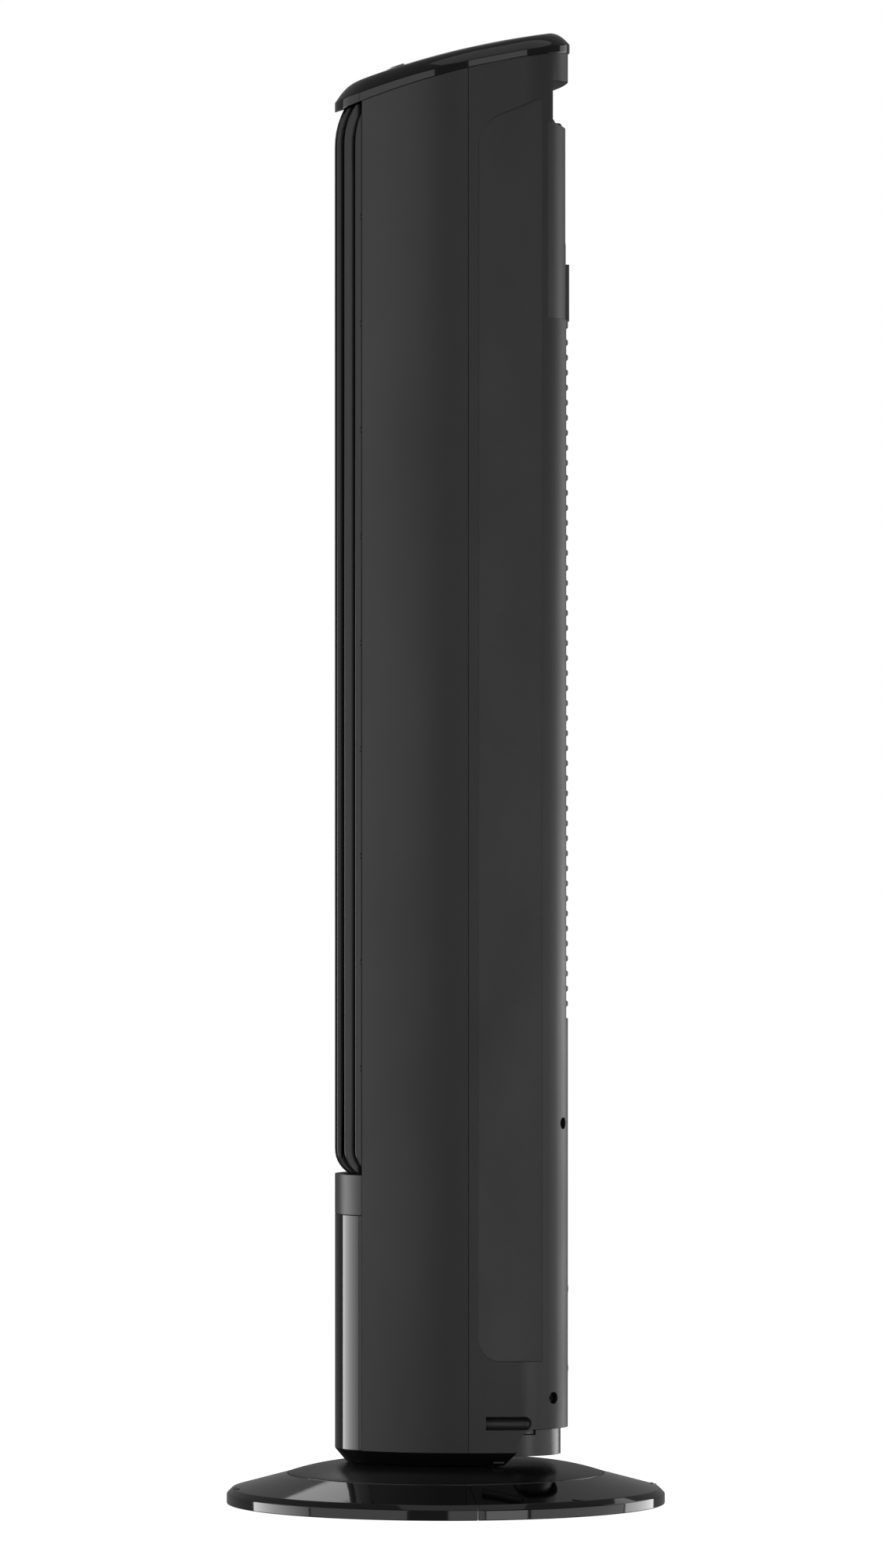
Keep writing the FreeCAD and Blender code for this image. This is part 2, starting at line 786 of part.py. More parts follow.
def rear_screw_bosses():
    bosses = []
    for angle_deg, z in rear_screw_spots:
        point, out = rear_screw_place(angle_deg)
        point.z = z
        boss = along(point, out, 7.0, -13.0, 16.0)
        bosses.append(boss.common(prism(0.0, z - 10, z + 10)))
    return bosses


def rear_screw_wells():
    wells = []
    for angle_deg, z in rear_screw_spots:
        point, out = rear_screw_place(angle_deg)
        point.z = z
        wells.append(along(point, out, screw_well_radius, -screw_well_depth, 20))
        wells.append(along(point, out, 1.75, -14, 20))
    return wells


def rear_screws():
    placed = []
    one = screw(1.7, 6.5, 3.6, 2.4)
    for angle_deg, z in rear_screw_spots:
        point, out = rear_screw_place(angle_deg)
        point.z = z
        turned = one.copy()
        spot = point - out * (screw_well_depth - 0.03)
        turned.Placement = FreeCAD.Placement(spot, FreeCAD.Rotation(V(0, 0, 1), out))
        placed += both_sides(turned)
    return Part.makeCompound(placed)


def side_slot():
    """Round-bottomed channel along the flat side, square in front and round behind."""
    sunk = side_slot_sunk / math.cos(side_angle)
    start_x = flat_end[0] - (flat_end[1] - side_slot_front) * math.tan(side_angle) - sunk
    start = V(start_x, side_slot_front, side_slot_z)
    run = V(math.sin(side_angle), math.cos(side_angle), 0)
    channel = Part.makeCylinder(side_slot_radius, side_slot_length, start, run)
    end = Part.makeSphere(side_slot_radius, start + run * side_slot_length)
    return channel.fuse(end)


def arch_cutter():
    """Opening under the rear housing, seen from the side."""
    low = tower_bottom - 5
    knee = V(0, arch_front, arch_top - arch_round)
    bend = arch_round * (1 - math.sqrt(0.5))
    mid = V(0, arch_front + bend, arch_top - bend)
    crown = V(0, arch_front + arch_round, arch_top)
    rear = body_rear + 20
    wire = Part.Wire([
        Part.makeLine(V(0, arch_front, low), knee),
        arc(knee, mid, crown),
        Part.makeLine(crown, V(0, rear, arch_top)),
        Part.makeLine(V(0, rear, arch_top), V(0, rear, low)),
        Part.makeLine(V(0, rear, low), V(0, arch_front, low)),
    ])
    return side_prism(Part.Face(wire))


def notch_cutter():
    """Carrying notch across the rear, with a sill that falls towards the rear."""
    rear = body_rear + 20
    profile = [
        (notch_y, notch_roof),
        (rear, notch_roof),
        (rear, notch_floor - sill_rear_drop - 1),
        (body_rear, notch_floor - sill_rear_drop),
        (notch_y + 3, notch_floor - sill_front_drop),
        (notch_y, notch_floor + 1.4),
    ]
    return side_prism(face_of(profile, side_view))


def rear_housing():
    z1 = grille_top + 60
    rear_zone = box(-100, 100, 66, 100, holder_bottom, notch_floor)
    walls = shell(0.0, wall, housing_bottom, z1)
    relief_pad = shell(wall - 0.3, wall + 2.2, relief_bottom - 4, relief_top_rear + 5)
    relief_pad = relief_pad.common(box(-100, 100, relief_front - 2, relief_rear + 5, 0, z1))
    slot_pad = shell(wall - 0.3, slot_pad_inset, slot_pad_bottom, side_slot_z + 8)
    slot_pad = slot_pad.common(box(-100, 100, side_slot_front - 3, side_slot_front + slot_pad_length, 0, z1))
    rear_pad = shell(wall - 0.3, rear_pad_inset, holder_bottom, notch_floor).common(rear_zone)
    ceiling = prism(wall - 0.3, notch_roof, notch_roof + wall)
    ceiling = ceiling.common(box(-100, 100, notch_y - wall, 100, 0, z1))
    post = prism(wall - 0.3, notch_floor - sill_rear_drop - 3, notch_roof + wall)
    post = post.common(box(-100, 100, notch_y - wall, notch_y, 0, z1))
    shelf = prism(wall - 0.3, notch_floor - sill_rear_drop - 3, notch_floor - sill_rear_drop - 0.6)
    shelf = shelf.common(box(-100, 100, notch_y - wall, 100, 0, z1))
    parts = [walls, relief_pad, slot_pad, rear_pad, ceiling, post, shelf]
    for boss in rear_screw_bosses():
        parts += both_sides(boss)
    for x in (-36, 36):
        for z in (101, 159):
            stub = Part.makeCylinder(3, body_rear - wall - 72.5, V(x, 73.7, z), V(0, 1, 0))
            parts.append(stub)
    housing = fused(parts)
    housing = housing.common(box(-100, 100, seam_y + seam_gap / 2, 100, housing_bottom, z1))
    parts = [housing]
    parts += deck_ledges(motor_deck_z, 34, 46)
    parts += deck_ledges(top_deck_z, 34, 46)
    housing = fused(parts)
    drop_tool = rear_zone.cut(prism(0.0, holder_bottom, notch_floor).translated(V(0, -upper_rear_drop, 0)))
    cutters = [notch_cutter(), arch_cutter(), drop_tool]
    cutters += both_sides(relief_cutter())
    for well in rear_screw_wells():
        cutters += both_sides(well)
    cutters += both_sides(side_slot())
    intake_top = intake_bottom + intake_height
    cutters.append(box(-intake_half_width, intake_half_width, 60, 100, intake_bottom, intake_top))
    holder_half = holder_half_width + 0.2
    cutters.append(box(-holder_half, holder_half, 60, 100, holder_bottom - 0.2, holder_top + 0.2))
    cutters.append(box(-pocket_half_width, pocket_half_width, notch_y - 8, notch_y + 1,
                       pocket_floor - pocket_wall - 0.1, notch_roof - 2.5))
    for cutter in cutters:
        housing = housing.cut(cutter)
    return trim_to_roof(housing)


def handle_pocket():
    """Finger tub behind the notch, with a rounded lip that lies on the housing's shelf."""
    z0 = pocket_floor - pocket_wall
    z1 = notch_roof - 2.6 + pocket_wall
    y1 = notch_y - wall - 0.1
    y0 = y1 - pocket_depth
    half = pocket_half_width + pocket_wall
    tub = box(-half, half, y0, y1, z0, z1)
    tub = tub.cut(box(-pocket_half_width, pocket_half_width, y0 + pocket_wall, y1 + 1,
                      z0 + pocket_wall, z1 - pocket_wall))
    lip_half = pocket_half_width - 0.3
    lip_z0 = notch_floor - sill_rear_drop - 0.5
    lip_z1 = pocket_floor
    lip = prism(rear_pad_inset + 0.2, lip_z0, lip_z1)
    lip = lip.common(box(-lip_half, lip_half, notch_y + 0.1, body_rear, lip_z0, lip_z1))
    rear_edges = []
    for e in lip.Edges:
        middle = e.valueAt((e.FirstParameter + e.LastParameter) / 2)
        at_rear = middle.y > body_rear - 7
        if at_rear and middle.z > lip_z0 + 1:
            rear_edges.append(e)
    lip = lip.makeFillet(3.0, rear_edges)
    tongue = box(-lip_half, lip_half, y1 - 1, notch_y + 0.5, z0, lip_z1)
    return fused([tub, tongue, lip])


def lower_front_panel():
    half_angle = nose_half_angle_deg - 0.2
    return nose_shell(0.0, panel_thickness, housing_bottom + 0.1, band_bottom - 0.1, half_angle)


def badge_band():
    half = nose_half_angle_deg - 0.2
    skirt = nose_shell(0.0, panel_thickness, band_bottom + 0.1, band_top, half)
    top = prism(0.0, band_top - 2.6, band_top).common(nose_wedge(half, band_top - 3, band_top + 1))
    top = top.common(box(-60, 60, -100, -58, band_top - 3, band_top + 1))
    return fused([skirt, top])


def fin(x):
    """One upright fin; its front edge bends back at both ends."""
    tip_centre_y = fin_tip_radius - body_front
    tip_y = tip_centre_y - math.sqrt(fin_tip_radius ** 2 - x * x)
    z0 = band_top + 0.1
    z1 = grille_top + 12
    low_bend = z0 + fin_foot_rise
    high_bend = grille_top - fin_head_drop
    foot_r = (fin_foot_setback ** 2 + fin_foot_rise ** 2) / (2 * fin_foot_setback)
    head_rise = z1 - high_bend
    head_r = (fin_head_setback ** 2 + head_rise ** 2) / (2 * fin_head_setback)
    foot_turn = math.asin(fin_foot_rise / foot_r) / 2
    head_turn = math.asin(head_rise / head_r) / 2
    foot_mid = V(x, tip_y + foot_r * (1 - math.cos(foot_turn)), low_bend - foot_r * math.sin(foot_turn))
    head_mid = V(x, tip_y + head_r * (1 - math.cos(head_turn)), high_bend + head_r * math.sin(head_turn))
    back_y = -fin_back
    start = V(x, back_y, z0)
    foot = V(x, tip_y + fin_foot_setback, z0)
    low = V(x, tip_y, low_bend)
    high = V(x, tip_y, high_bend)
    head = V(x, tip_y + fin_head_setback, z1)
    top = V(x, back_y + 2, z1)
    if foot.y > back_y - 0.5:
        start = V(x, foot.y + 0.5, z0)
        top = V(x, head.y + 0.5, z1)
    wire = Part.Wire([
        Part.makeLine(start, foot),
        arc(foot, foot_mid, low),
        Part.makeLine(low, high),
        arc(high, head_mid, head),
        Part.makeLine(head, top),
        Part.makeLine(top, start),
    ])
    plate = Part.Face(wire).translated(V(-fin_thickness / 2, 0, 0)).extrude(V(fin_thickness, 0, 0))
    return plate


def front_grille():
    half = nose_half_angle_deg - 0.6
    parts = []
    for x in fin_places:
        parts += both_sides(fin(x))
    z0 = band_top + 0.1
    rail_y = -fin_back
    foot_rail = nose_shell(12, 22, z0, z0 + 2.4, half)
    head_rail = nose_shell(12, 22, grille_top - 3, grille_top - 0.4, half)
    parts += [foot_rail, head_rail]
    for i in range(tie_bar_count):
        z = z0 + (grille_top - z0) * (i + 1) / (tie_bar_count + 1)
        parts.append(box(-40, 40, rail_y - 3, rail_y, z - 1.2, z + 1.2))
        parts += both_sides(box(25, 40, rail_y - 7, rail_y - 1, z - 1.2, z + 1.2))
    body = fused(parts).common(nose_wedge(half, z0 - 1, grille_top + 30))
    return body.cut(above(roof(0.3)))


def rear_intake_grille():
    z0 = intake_bottom + 0.15
    z1 = intake_bottom + intake_height - 0.15
    half = intake_half_width - 0.2
    window = box(-half, half, 60, 100, z0, z1)
    rail_depth = wall + intake_recess
    top_rail = shell(0.0, rail_depth, z1 - 5, z1).common(window)
    foot_rail = shell(0.0, rail_depth, z0, z0 + 5).common(window)
    sides = shell(intake_recess, rail_depth, z0, z1).common(window)
    sides = sides.cut(box(-half + 3.6, half - 3.6, 50, 110, z0 - 1, z1 + 1))
    rib = shell(0.0, intake_rib_depth, 0, intake_rib_height).common(box(-half, half, 60, 100, -1, 10))
    round_edges = []
    for e in rib.Edges:
        a = e.valueAt(e.FirstParameter)
        b = e.valueAt(e.LastParameter)
        flat = abs(a.z - b.z) < 0.01
        if flat and abs(a.distanceToPoint(b)) > 5 and is_on_outline(a) and is_on_outline(b):
            round_edges.append(e)
    rib = rib.makeFillet(intake_rib_round, round_edges)
    count = int((intake_height - 14) / intake_pitch)
    first = z0 + (z1 - z0 - (count - 1) * intake_pitch - intake_rib_height) / 2
    parts = [top_rail, foot_rail, sides]
    parts += [rib.translated(V(0, 0, first + i * intake_pitch)) for i in range(count)]
    stays = shell(intake_rib_depth - 0.4, intake_rib_depth + 3.5, z0, z1)
    for x in (-40, -20, 0, 20, 40):
        parts.append(stays.common(box(x - 1.2, x + 1.2, 60, 100, z0, z1)))
    return fused(parts)


def is_on_outline(point):
    """True for a point on the outline's corner arc or crowned rear."""
    corner_gap = math.hypot(abs(point.x) - corner_centre[0], point.y - corner_centre[1]) - corner_radius
    crown_gap = math.hypot(point.x, point.y - rear_centre_y) - rear_crown_radius
    return min(abs(corner_gap), abs(crown_gap)) < 0.02


# ---- cap and controls ------------------------------------------------------------------------

def on_controls(shape):
    """Move a shape drawn around z = 0, its outer face up, onto the sloping crest."""
    spot = V(0, control_y, crest_z(0, control_y))
    placed = shape.copy()
    placed.Placement = FreeCAD.Placement(spot, FreeCAD.Rotation(V(1, 0, 0), math.degrees(control_tilt)))
    return placed


def button_places():
    return [((i - 1.5) * button_pitch, 0.0) for i in range(4)]


def lens_prism(grow, z0, z1):
    w = lens_width / 2 + grow
    d = lens_depth / 2 + grow
    block = box(-w, w, lens_offset - d, lens_offset + d, z0, z1)
    uprights = [e for e in block.Edges if abs(e.tangentAt(e.FirstParameter).z) > 0.9]
    return on_controls(block.makeFillet(3.5 + grow, uprights))


def cap_form(inset, lowered, edge_round, z0):
    """Domed slab with a rounded rim; inset and lowered shrink it for the hollow."""
    outer = prism(inset - cap_overhang, z0, grille_top + 90).translated(V(0, cap_overhang, 0))
    outer = outer.cut(above(crest(lowered)))
    top_edges = []
    for e in outer.Edges:
        middle = e.valueAt((e.FirstParameter + e.LastParameter) / 2)
        gap = crest_z(middle.x, middle.y) - lowered - middle.z
        is_upright = abs(e.tangentAt(e.FirstParameter).z) > 0.9
        if abs(gap) < 1.0 and not is_upright:
            top_edges.append(e)
    return outer.makeFillet(edge_round, top_edges)


def top_cap():
    body = cap_form(0.0, 0.0, cap_edge_round, grille_top - 20)
    hollow = cap_form(cap_wall, cap_wall, cap_edge_round - cap_wall, grille_top - 20)
    behind_nose = box(-110, 110, -body_front + cap_solid_nose, 110, grille_top - 30, grille_top + 100)
    hollow = hollow.common(behind_nose)
    under = roof_block()
    body = body.cut(under).cut(hollow)
    posts = []
    for x, y in board_posts:
        post = on_controls(rod(2.5, -board_depth + 0.02, -cap_wall + 0.8, x, y))
        posts.append(post)
    body = fused([body] + posts)
    for x, y in button_places():
        body = body.cut(on_controls(rod(button_radius + body_gap, -8, 5, x, y)))
    lens_seat = lens_prism(0.15, -6, 6).common(above(crest(1.75)))
    return body.cut(lens_seat).cut(lens_prism(-2.0, -8, 6))


def roof_block():
    """Everything under the cap's lower edge."""
    low = box(-110, 110, -110, 110, grille_top - 60, grille_top + 60)
    return low.common(roof(0.0))


def control_board():
    board = box(-34, 34, -14, 36, -board_depth - 1.6, -board_depth)
    return on_controls(board)


def tact_switches():
    switches = []
    for x, y in button_places():
        case = box(x - 3, x + 3, y - 3, y + 3, -board_depth + 0.02, -board_depth + 3.2)
        plunger = rod(1.6, -board_depth + 3, -board_depth + 4.1, x, y)
        switches.append(on_controls(case.fuse(plunger).removeSplitter()))
    return Part.makeCompound(switches)


def control_button(index):
    x, y = button_places()[index]
    cap_disc = rod(button_radius, -4.8, 0.3, x, y)
    crown = [e for e in cap_disc.Edges if abs(e.valueAt(0).z - 0.3) < 0.01 and e.Length > 10]
    cap_disc = cap_disc.makeFillet(0.6, crown)
    flange = rod(button_radius + 1.3, -5.0, -4.0, x, y)
    stem = rod(2.0, -board_depth + 4.8, -4.9, x, y)
    return on_controls(fused([cap_disc, flange, stem]))


def display_lens():
    skin = cap_form(0.0, 0.0, cap_edge_round, grille_top - 20).cut(crest(1.6))
    return skin.common(lens_prism(0.0, -6, 6))


# ---- blower ----------------------------------------------------------------------------------

def at_wheel(shape):
    return shape.translated(V(0, wheel_y, 0))


def motor_deck():
    deck = prism(deck_inset, motor_deck_z, motor_deck_z + deck_thickness)
    return deck.cut(rod(14, motor_deck_z - 1, motor_deck_z + 10, 0, wheel_y))


def top_deck():
    deck = prism(deck_inset, top_deck_z, top_deck_z + deck_thickness)
    deck = deck.common(box(-100, 100, deck_front, 100, top_deck_z - 1, top_deck_z + 10))
    collar = rod(bush_holder_radius + 3, top_deck_z - 6, top_deck_z + 1, 0, wheel_y)
    seat = rod(bush_holder_radius + 0.05, top_deck_z - 10, top_deck_z + 10, 0, wheel_y)
    return fused([deck, collar]).cut(seat)


def top_bearing_holder():
    body = tube(bush_holder_radius, 8.0, top_deck_z - 5, top_deck_z + deck_thickness)
    return at_wheel(body)


def top_bearing_bush():
    body = tube(7.95, shaft_radius + running_clearance, top_deck_z - 4, top_deck_z + deck_thickness - 0.5)
    return at_wheel(body)


def top_journal():
    return at_wheel(rod(shaft_radius, wheel_top_z - 13, top_deck_z + deck_thickness + 1))


def blade():
    inner = polar(blade_inner_radius, 0.0)
    middle = polar(40.0, math.radians(6.5))
    outer = polar(wheel_radius - 0.6, math.radians(8.0))
    thickness = math.radians(1.5)

    def turned(p):
        return polar(math.hypot(p[0], p[1]), math.atan2(p[1], p[0]) + thickness)

    wire = Part.Wire([
        arc(plan(inner), plan(middle), plan(outer)),
        Part.makeLine(plan(outer), plan(turned(outer))),
        arc(plan(turned(outer)), plan(turned(middle)), plan(turned(inner))),
        Part.makeLine(plan(turned(inner)), plan(inner)),
    ])
    height = wheel_top_z - wheel_bottom_z - disc_thickness
    return Part.Face(wire).translated(V(0, 0, wheel_bottom_z + disc_thickness / 2)).extrude(V(0, 0, height))


def blower_wheel():
    """Cross-flow wheel: long blades held by end discs and open dividers."""
    hub_length = 14.0
    low_disc = rod(wheel_radius, wheel_bottom_z, wheel_bottom_z + disc_thickness)
    top_disc = rod(wheel_radius, wheel_top_z - disc_thickness, wheel_top_z)
    low_hub = rod(9, wheel_bottom_z, wheel_bottom_z + disc_thickness + hub_length)
    top_hub = rod(9, wheel_top_z - disc_thickness - hub_length, wheel_top_z)
    parts = [low_disc, top_disc, low_hub, top_hub]
    parts += circle_of(blade(), blade_count)
    for i in range(divider_count):
        z = wheel_bottom_z + (wheel_top_z - wheel_bottom_z) * (i + 1) / (divider_count + 1)
        parts.append(tube(wheel_radius, blade_inner_radius - 3, z - 0.8, z + 0.8))
    wheel = fused(parts)
    bore = shaft_radius + 0.03
    wheel = wheel.cut(rod(bore, wheel_bottom_z - 1, wheel_bottom_z + disc_thickness + hub_length + 1))
    wheel = wheel.cut(rod(bore, wheel_top_z - disc_thickness - hub_length - 1, wheel_top_z + 1))
    return at_wheel(wheel)


def motor_shaft():
    foot_z = motor_top_z - 2 * bell_height - stator_height - 4
    return at_wheel(rod(shaft_radius, foot_z, wheel_bottom_z + 15))


def motor_rotor():
    z0 = motor_top_z - bell_height - stator_height - 1
    return at_wheel(tube(21.0, shaft_radius + 0.02, z0, z0 + stator_height + 2))


def motor_stator_core():
    z0 = motor_top_z - bell_height - stator_height
    core = tube(motor_radius - 0.1, 21.5, z0 + 0.1, z0 + stator_height - 0.1)
    for cutter in circle_of(rod(2.0, z0 - 1, z0 + stator_height + 1, 36), 8, 22.5):
        core = core.cut(cutter)
    return at_wheel(core)


def motor_windings():
    z0 = motor_top_z - bell_height - stator_height
    low = tube(36, 24, z0 - 9, z0)
    high = tube(36, 24, z0 + stator_height, z0 + stator_height + 9)
    return Part.makeCompound([at_wheel(low), at_wheel(high)])


def motor_bell(is_upper):
    """Pressed cup with a bearing pocket; drawn mouth down, top at z = 0."""
    cup = rod(motor_radius, -bell_height, 0).cut(rod(motor_radius - 1.5, -bell_height - 1, -1.5))
    pocket = rod(12, -7.5, -0.5)
    cup = fused([cup, pocket]).cut(rod(9.05, -8, -1.5)).cut(rod(shaft_radius + 1.5, -20, 1))
    for vent in circle_of(rod(3.5, -3, 1, 26), 8):
        cup = cup.cut(vent)
    if is_upper:
        return at_wheel(cup.translated(V(0, 0, motor_top_z)))
    flipped = cup.mirror(V(0, 0, 0), V(0, 0, 1))
    return at_wheel(flipped.translated(V(0, 0, motor_top_z - 2 * bell_height - stator_height)))


def motor_bearings():
    bearing = tube(9.0, shaft_radius + running_clearance, -7.5, -1.55)
    low = bearing.mirror(V(0, 0, 0), V(0, 0, 1))
    low = low.translated(V(0, 0, motor_top_z - 2 * bell_height - stator_height))
    return Part.makeCompound([at_wheel(bearing.translated(V(0, 0, motor_top_z))), at_wheel(low)])


def air_scroll():
    """Guide wall that opens out around the left of the wheel to the outlet."""
    first = math.radians(100)
    last = math.radians(212)
    steps = 6
    growth = 12.0

    def spiral(extra):
        points = []
        for i in range(steps + 1):
            t = i / steps
            x, y = polar(wheel_radius + 4 + growth * t + extra, first + (last - first) * t)
            points.append(V(x, y + wheel_y, 0))
        curve = Part.BSplineCurve()
        curve.interpolate(points)
        return curve.toShape(), points[0], points[-1]

    inner, inner_start, inner_end = spiral(0.0)
    outer, outer_start, outer_end = spiral(duct_wall)
    mouth_in = V(-duct_mouth[0], duct_mouth[1], 0)
    mouth_out = V(-duct_mouth[0] - duct_wall, duct_mouth[1] + 0.6, 0)
    wire = Part.Wire([
        inner,
        Part.makeLine(inner_end, mouth_in),
        Part.makeLine(mouth_in, mouth_out),
        Part.makeLine(mouth_out, outer_end),
        outer,
        Part.makeLine(outer_start, inner_start),
    ])
    return Part.Face(wire).translated(V(0, 0, duct_z0)).extrude(V(0, 0, duct_z1 - duct_z0))


def cutoff_wall():
    """Straight wall with a round tongue close to the wheel, right of the outlet."""
    tongue_x = wheel_radius + 2.5
    tongue_y = wheel_y - 20
    mouth = duct_mouth
    plate = face_of([
        (mouth[0], mouth[1]),
        (mouth[0] + duct_wall, mouth[1] + 0.6),
        (tongue_x + 2, tongue_y - 1),
        (tongue_x - 0.5, tongue_y - 1.5),
    ], plan)
    plate = plate.translated(V(0, 0, duct_z0)).extrude(V(0, 0, duct_z1 - duct_z0))
    tongue = rod(2.4, duct_z0, duct_z1, tongue_x, tongue_y)
    back = box(tongue_x, tongue_x + 12, tongue_y, tongue_y + duct_wall, duct_z0, duct_z1)
    return fused([plate, tongue, back])


def power_board():
    board = box(-42, 42, 72.0, 73.6, 95, 165)
    for x in (-36, 36):
        for z in (101, 159):
            board = board.cut(Part.makeCylinder(1.6, 10, V(x, 68, z), V(0, 1, 0)))
    return board


def run_capacitor():
    block = box(-34, 4, 50, 71.95, 104, 132)
    edges = [e for e in block.Edges if abs(e.tangentAt(e.FirstParameter).y) > 0.9]
    return block.makeFillet(2.5, edges)


# ---- remote control --------------------------------------------------------------------------

def remote_holder():
    """Open channel in the rear wall with a low pocket front, cut out for the keys."""
    top = holder_top
    pocket_top = holder_bottom + holder_floor + pocket_front_height
    front_in = remote_face + body_gap
    front_out = front_in + 1.9
    upper_rear = body_rear - upper_rear_drop - 0.6
    half = holder_half_width
    low = box(-half, half, holder_back, front_out, holder_bottom, pocket_top)
    high = box(-half, half, holder_back, upper_rear, pocket_top - 0.1, top)
    body = fused([low, high])
    inner = half - holder_wall
    body = body.cut(box(-inner, inner, holder_back + holder_wall, front_in, remote_z - body_gap, top - 2))
    body = body.cut(box(-inner, inner, holder_back + holder_wall, 100, pocket_top, top - 2))
    return body.cut(box(-13, 13, holder_back + holder_wall, 100, holder_bottom + 10, pocket_top + 1))


def remote_block(y0, y1, inset):
    half = remote_width / 2 - inset
    block = box(-half, half, y0, y1, remote_z + inset, remote_top - inset)
    edges = [e for e in block.Edges if abs(e.tangentAt(e.FirstParameter).y) > 0.9]
    return block.makeFillet(6.0 - inset, edges)


def remote_key_places():
    middle = remote_z + 24.0
    return [(-6.5, middle - 7), (6.5, middle - 7), (-6.5, middle + 7), (6.5, middle + 7)]


def y_rod(radius, y0, y1, x, z):
    return Part.makeCylinder(radius, y1 - y0, V(x, y0, z), V(0, 1, 0))


def remote_face_shell():
    body = remote_block(remote_split + 0.05, remote_face, 0.0)
    body = body.cut(remote_block(remote_split - 1, remote_face - remote_wall, remote_wall))
    for x, z in remote_key_places():
        body = body.cut(y_rod(remote_key_radius + body_gap, remote_split, remote_face + 1, x, z))
    return body


def remote_back_shell():
    body = remote_block(remote_back, remote_split - 0.05, 0.0)
    body = body.cut(remote_block(remote_back + remote_wall, remote_split + 1, remote_wall))
    body = body.cut(y_rod(door_radius + body_gap, remote_back - 1, remote_back + remote_wall + 1, 0, door_z))
    way_out = door_lugs(body_gap, remote_back - 1, remote_back + remote_wall + 1)
    return body.cut(way_out.rotated(V(0, 0, door_z), V(0, 1, 0), door_turn_deg))


def door_lugs(grow, y0, y1):
    """Bar across the door whose ends reach behind the shell until the door is turned."""
    reach = door_radius + lug_reach + grow
    half = lug_half_width + grow
    return box(-reach, reach, y0, y1, door_z - half, door_z + half)


def remote_battery_door():
    disc = y_rod(door_radius, remote_back + 0.1, remote_back + remote_wall, 0, door_z)
    slot = box(-6, 6, remote_back - 1, remote_back + 0.7, door_z - 0.8, door_z + 0.8)
    neck = y_rod(door_radius - 1, remote_back + 1, remote_back + 2.4, 0, door_z)
    lugs = door_lugs(0.0, remote_back + remote_wall + body_gap, remote_back + 2.4)
    return fused([disc, neck, lugs]).cut(slot)


def remote_cell():
    return y_rod(10.0, remote_back + 2.7, remote_split + 0.5, 0, door_z)


def remote_key(index):
    x, z = remote_key_places()[index]
    cap_rod = y_rod(remote_key_radius, remote_face - 3.2, remote_face + 0.6, x, z)
    flange = y_rod(remote_key_radius + 1.0, remote_face - 3.2, remote_face - remote_wall - 0.4, x, z)
    return fused([cap_rod, flange])


# ---- one file per piece ----------------------------------------------------------------------

def all_pieces():
    ring = base_ring()
    pieces = {
        "base_front_half": base_half(ring, -1),
        "base_rear_half": base_half(ring, 1),
        "base_top_disc": base_top_disc(),
        "swivel_post": swivel_post(),
        "thrust_washer": thrust_washer(),
        "fixed_gear": fixed_gear(),
        "retaining_washer": retaining_washer(),
        "post_screws": post_screws(),
        "gear_screws": gear_screws(),
        "rubber_feet": rubber_feet(),
        "bottom_pan": bottom_pan(),
        "cord_inlet_bush": cord_inlet_bush(),
        "front_housing": front_housing(),
        "rear_housing": rear_housing(),
        "rear_intake_grille": rear_intake_grille(),
        "front_grille": front_grille(),
        "lower_front_panel": lower_front_panel(),
        "badge_band": badge_band(),
        "top_cap": top_cap(),
        "handle_pocket": handle_pocket(),
        "top_deck": top_deck(),
        "motor_deck": motor_deck(),
        "air_scroll": air_scroll(),
        "cutoff_wall": cutoff_wall(),
        "swing_motor": swing_motor(),
        "swing_motor_bracket": swing_motor_bracket(),
        "bracket_screws": bracket_screws(),
        "swing_pinion": swing_pinion(),
        "swing_motor_shaft": swing_motor_shaft(),
        "power_board": power_board(),
        "run_capacitor": run_capacitor(),
        "motor_stator_core": motor_stator_core(),
        "motor_windings": motor_windings(),
        "motor_lower_bell": motor_bell(False),
        "motor_upper_bell": motor_bell(True),
        "motor_bearings": motor_bearings(),
        "motor_shaft": motor_shaft(),
        "motor_rotor": motor_rotor(),
        "blower_wheel": blower_wheel(),
        "top_journal": top_journal(),
        "top_bearing_bush": top_bearing_bush(),
        "top_bearing_holder": top_bearing_holder(),
        "control_board": control_board(),
        "tact_switches": tact_switches(),
        "display_lens": display_lens(),
        "rear_screws": rear_screws(),
        "remote_holder": remote_holder(),
        "remote_face_shell": remote_face_shell(),
        "remote_back_shell": remote_back_shell(),
        "remote_battery_door": remote_battery_door(),
        "remote_cell": remote_cell(),
    }
    for index, name in enumerate(("power", "speed", "timer", "swing")):
        pieces[name + "_button"] = control_button(index)
        pieces["remote_" + name + "_key"] = remote_key(index)
    return pieces


os.makedirs("parts", exist_ok=True)
for node, shape in all_pieces().items():
    shape.exportStep("parts/" + node + ".step")
    print(node, "valid" if shape.isValid() else "INVALID", len(shape.Solids), round(shape.Volume))
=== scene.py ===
import json
import math

import bmesh
import bpy
from mathutils import Matrix, Vector


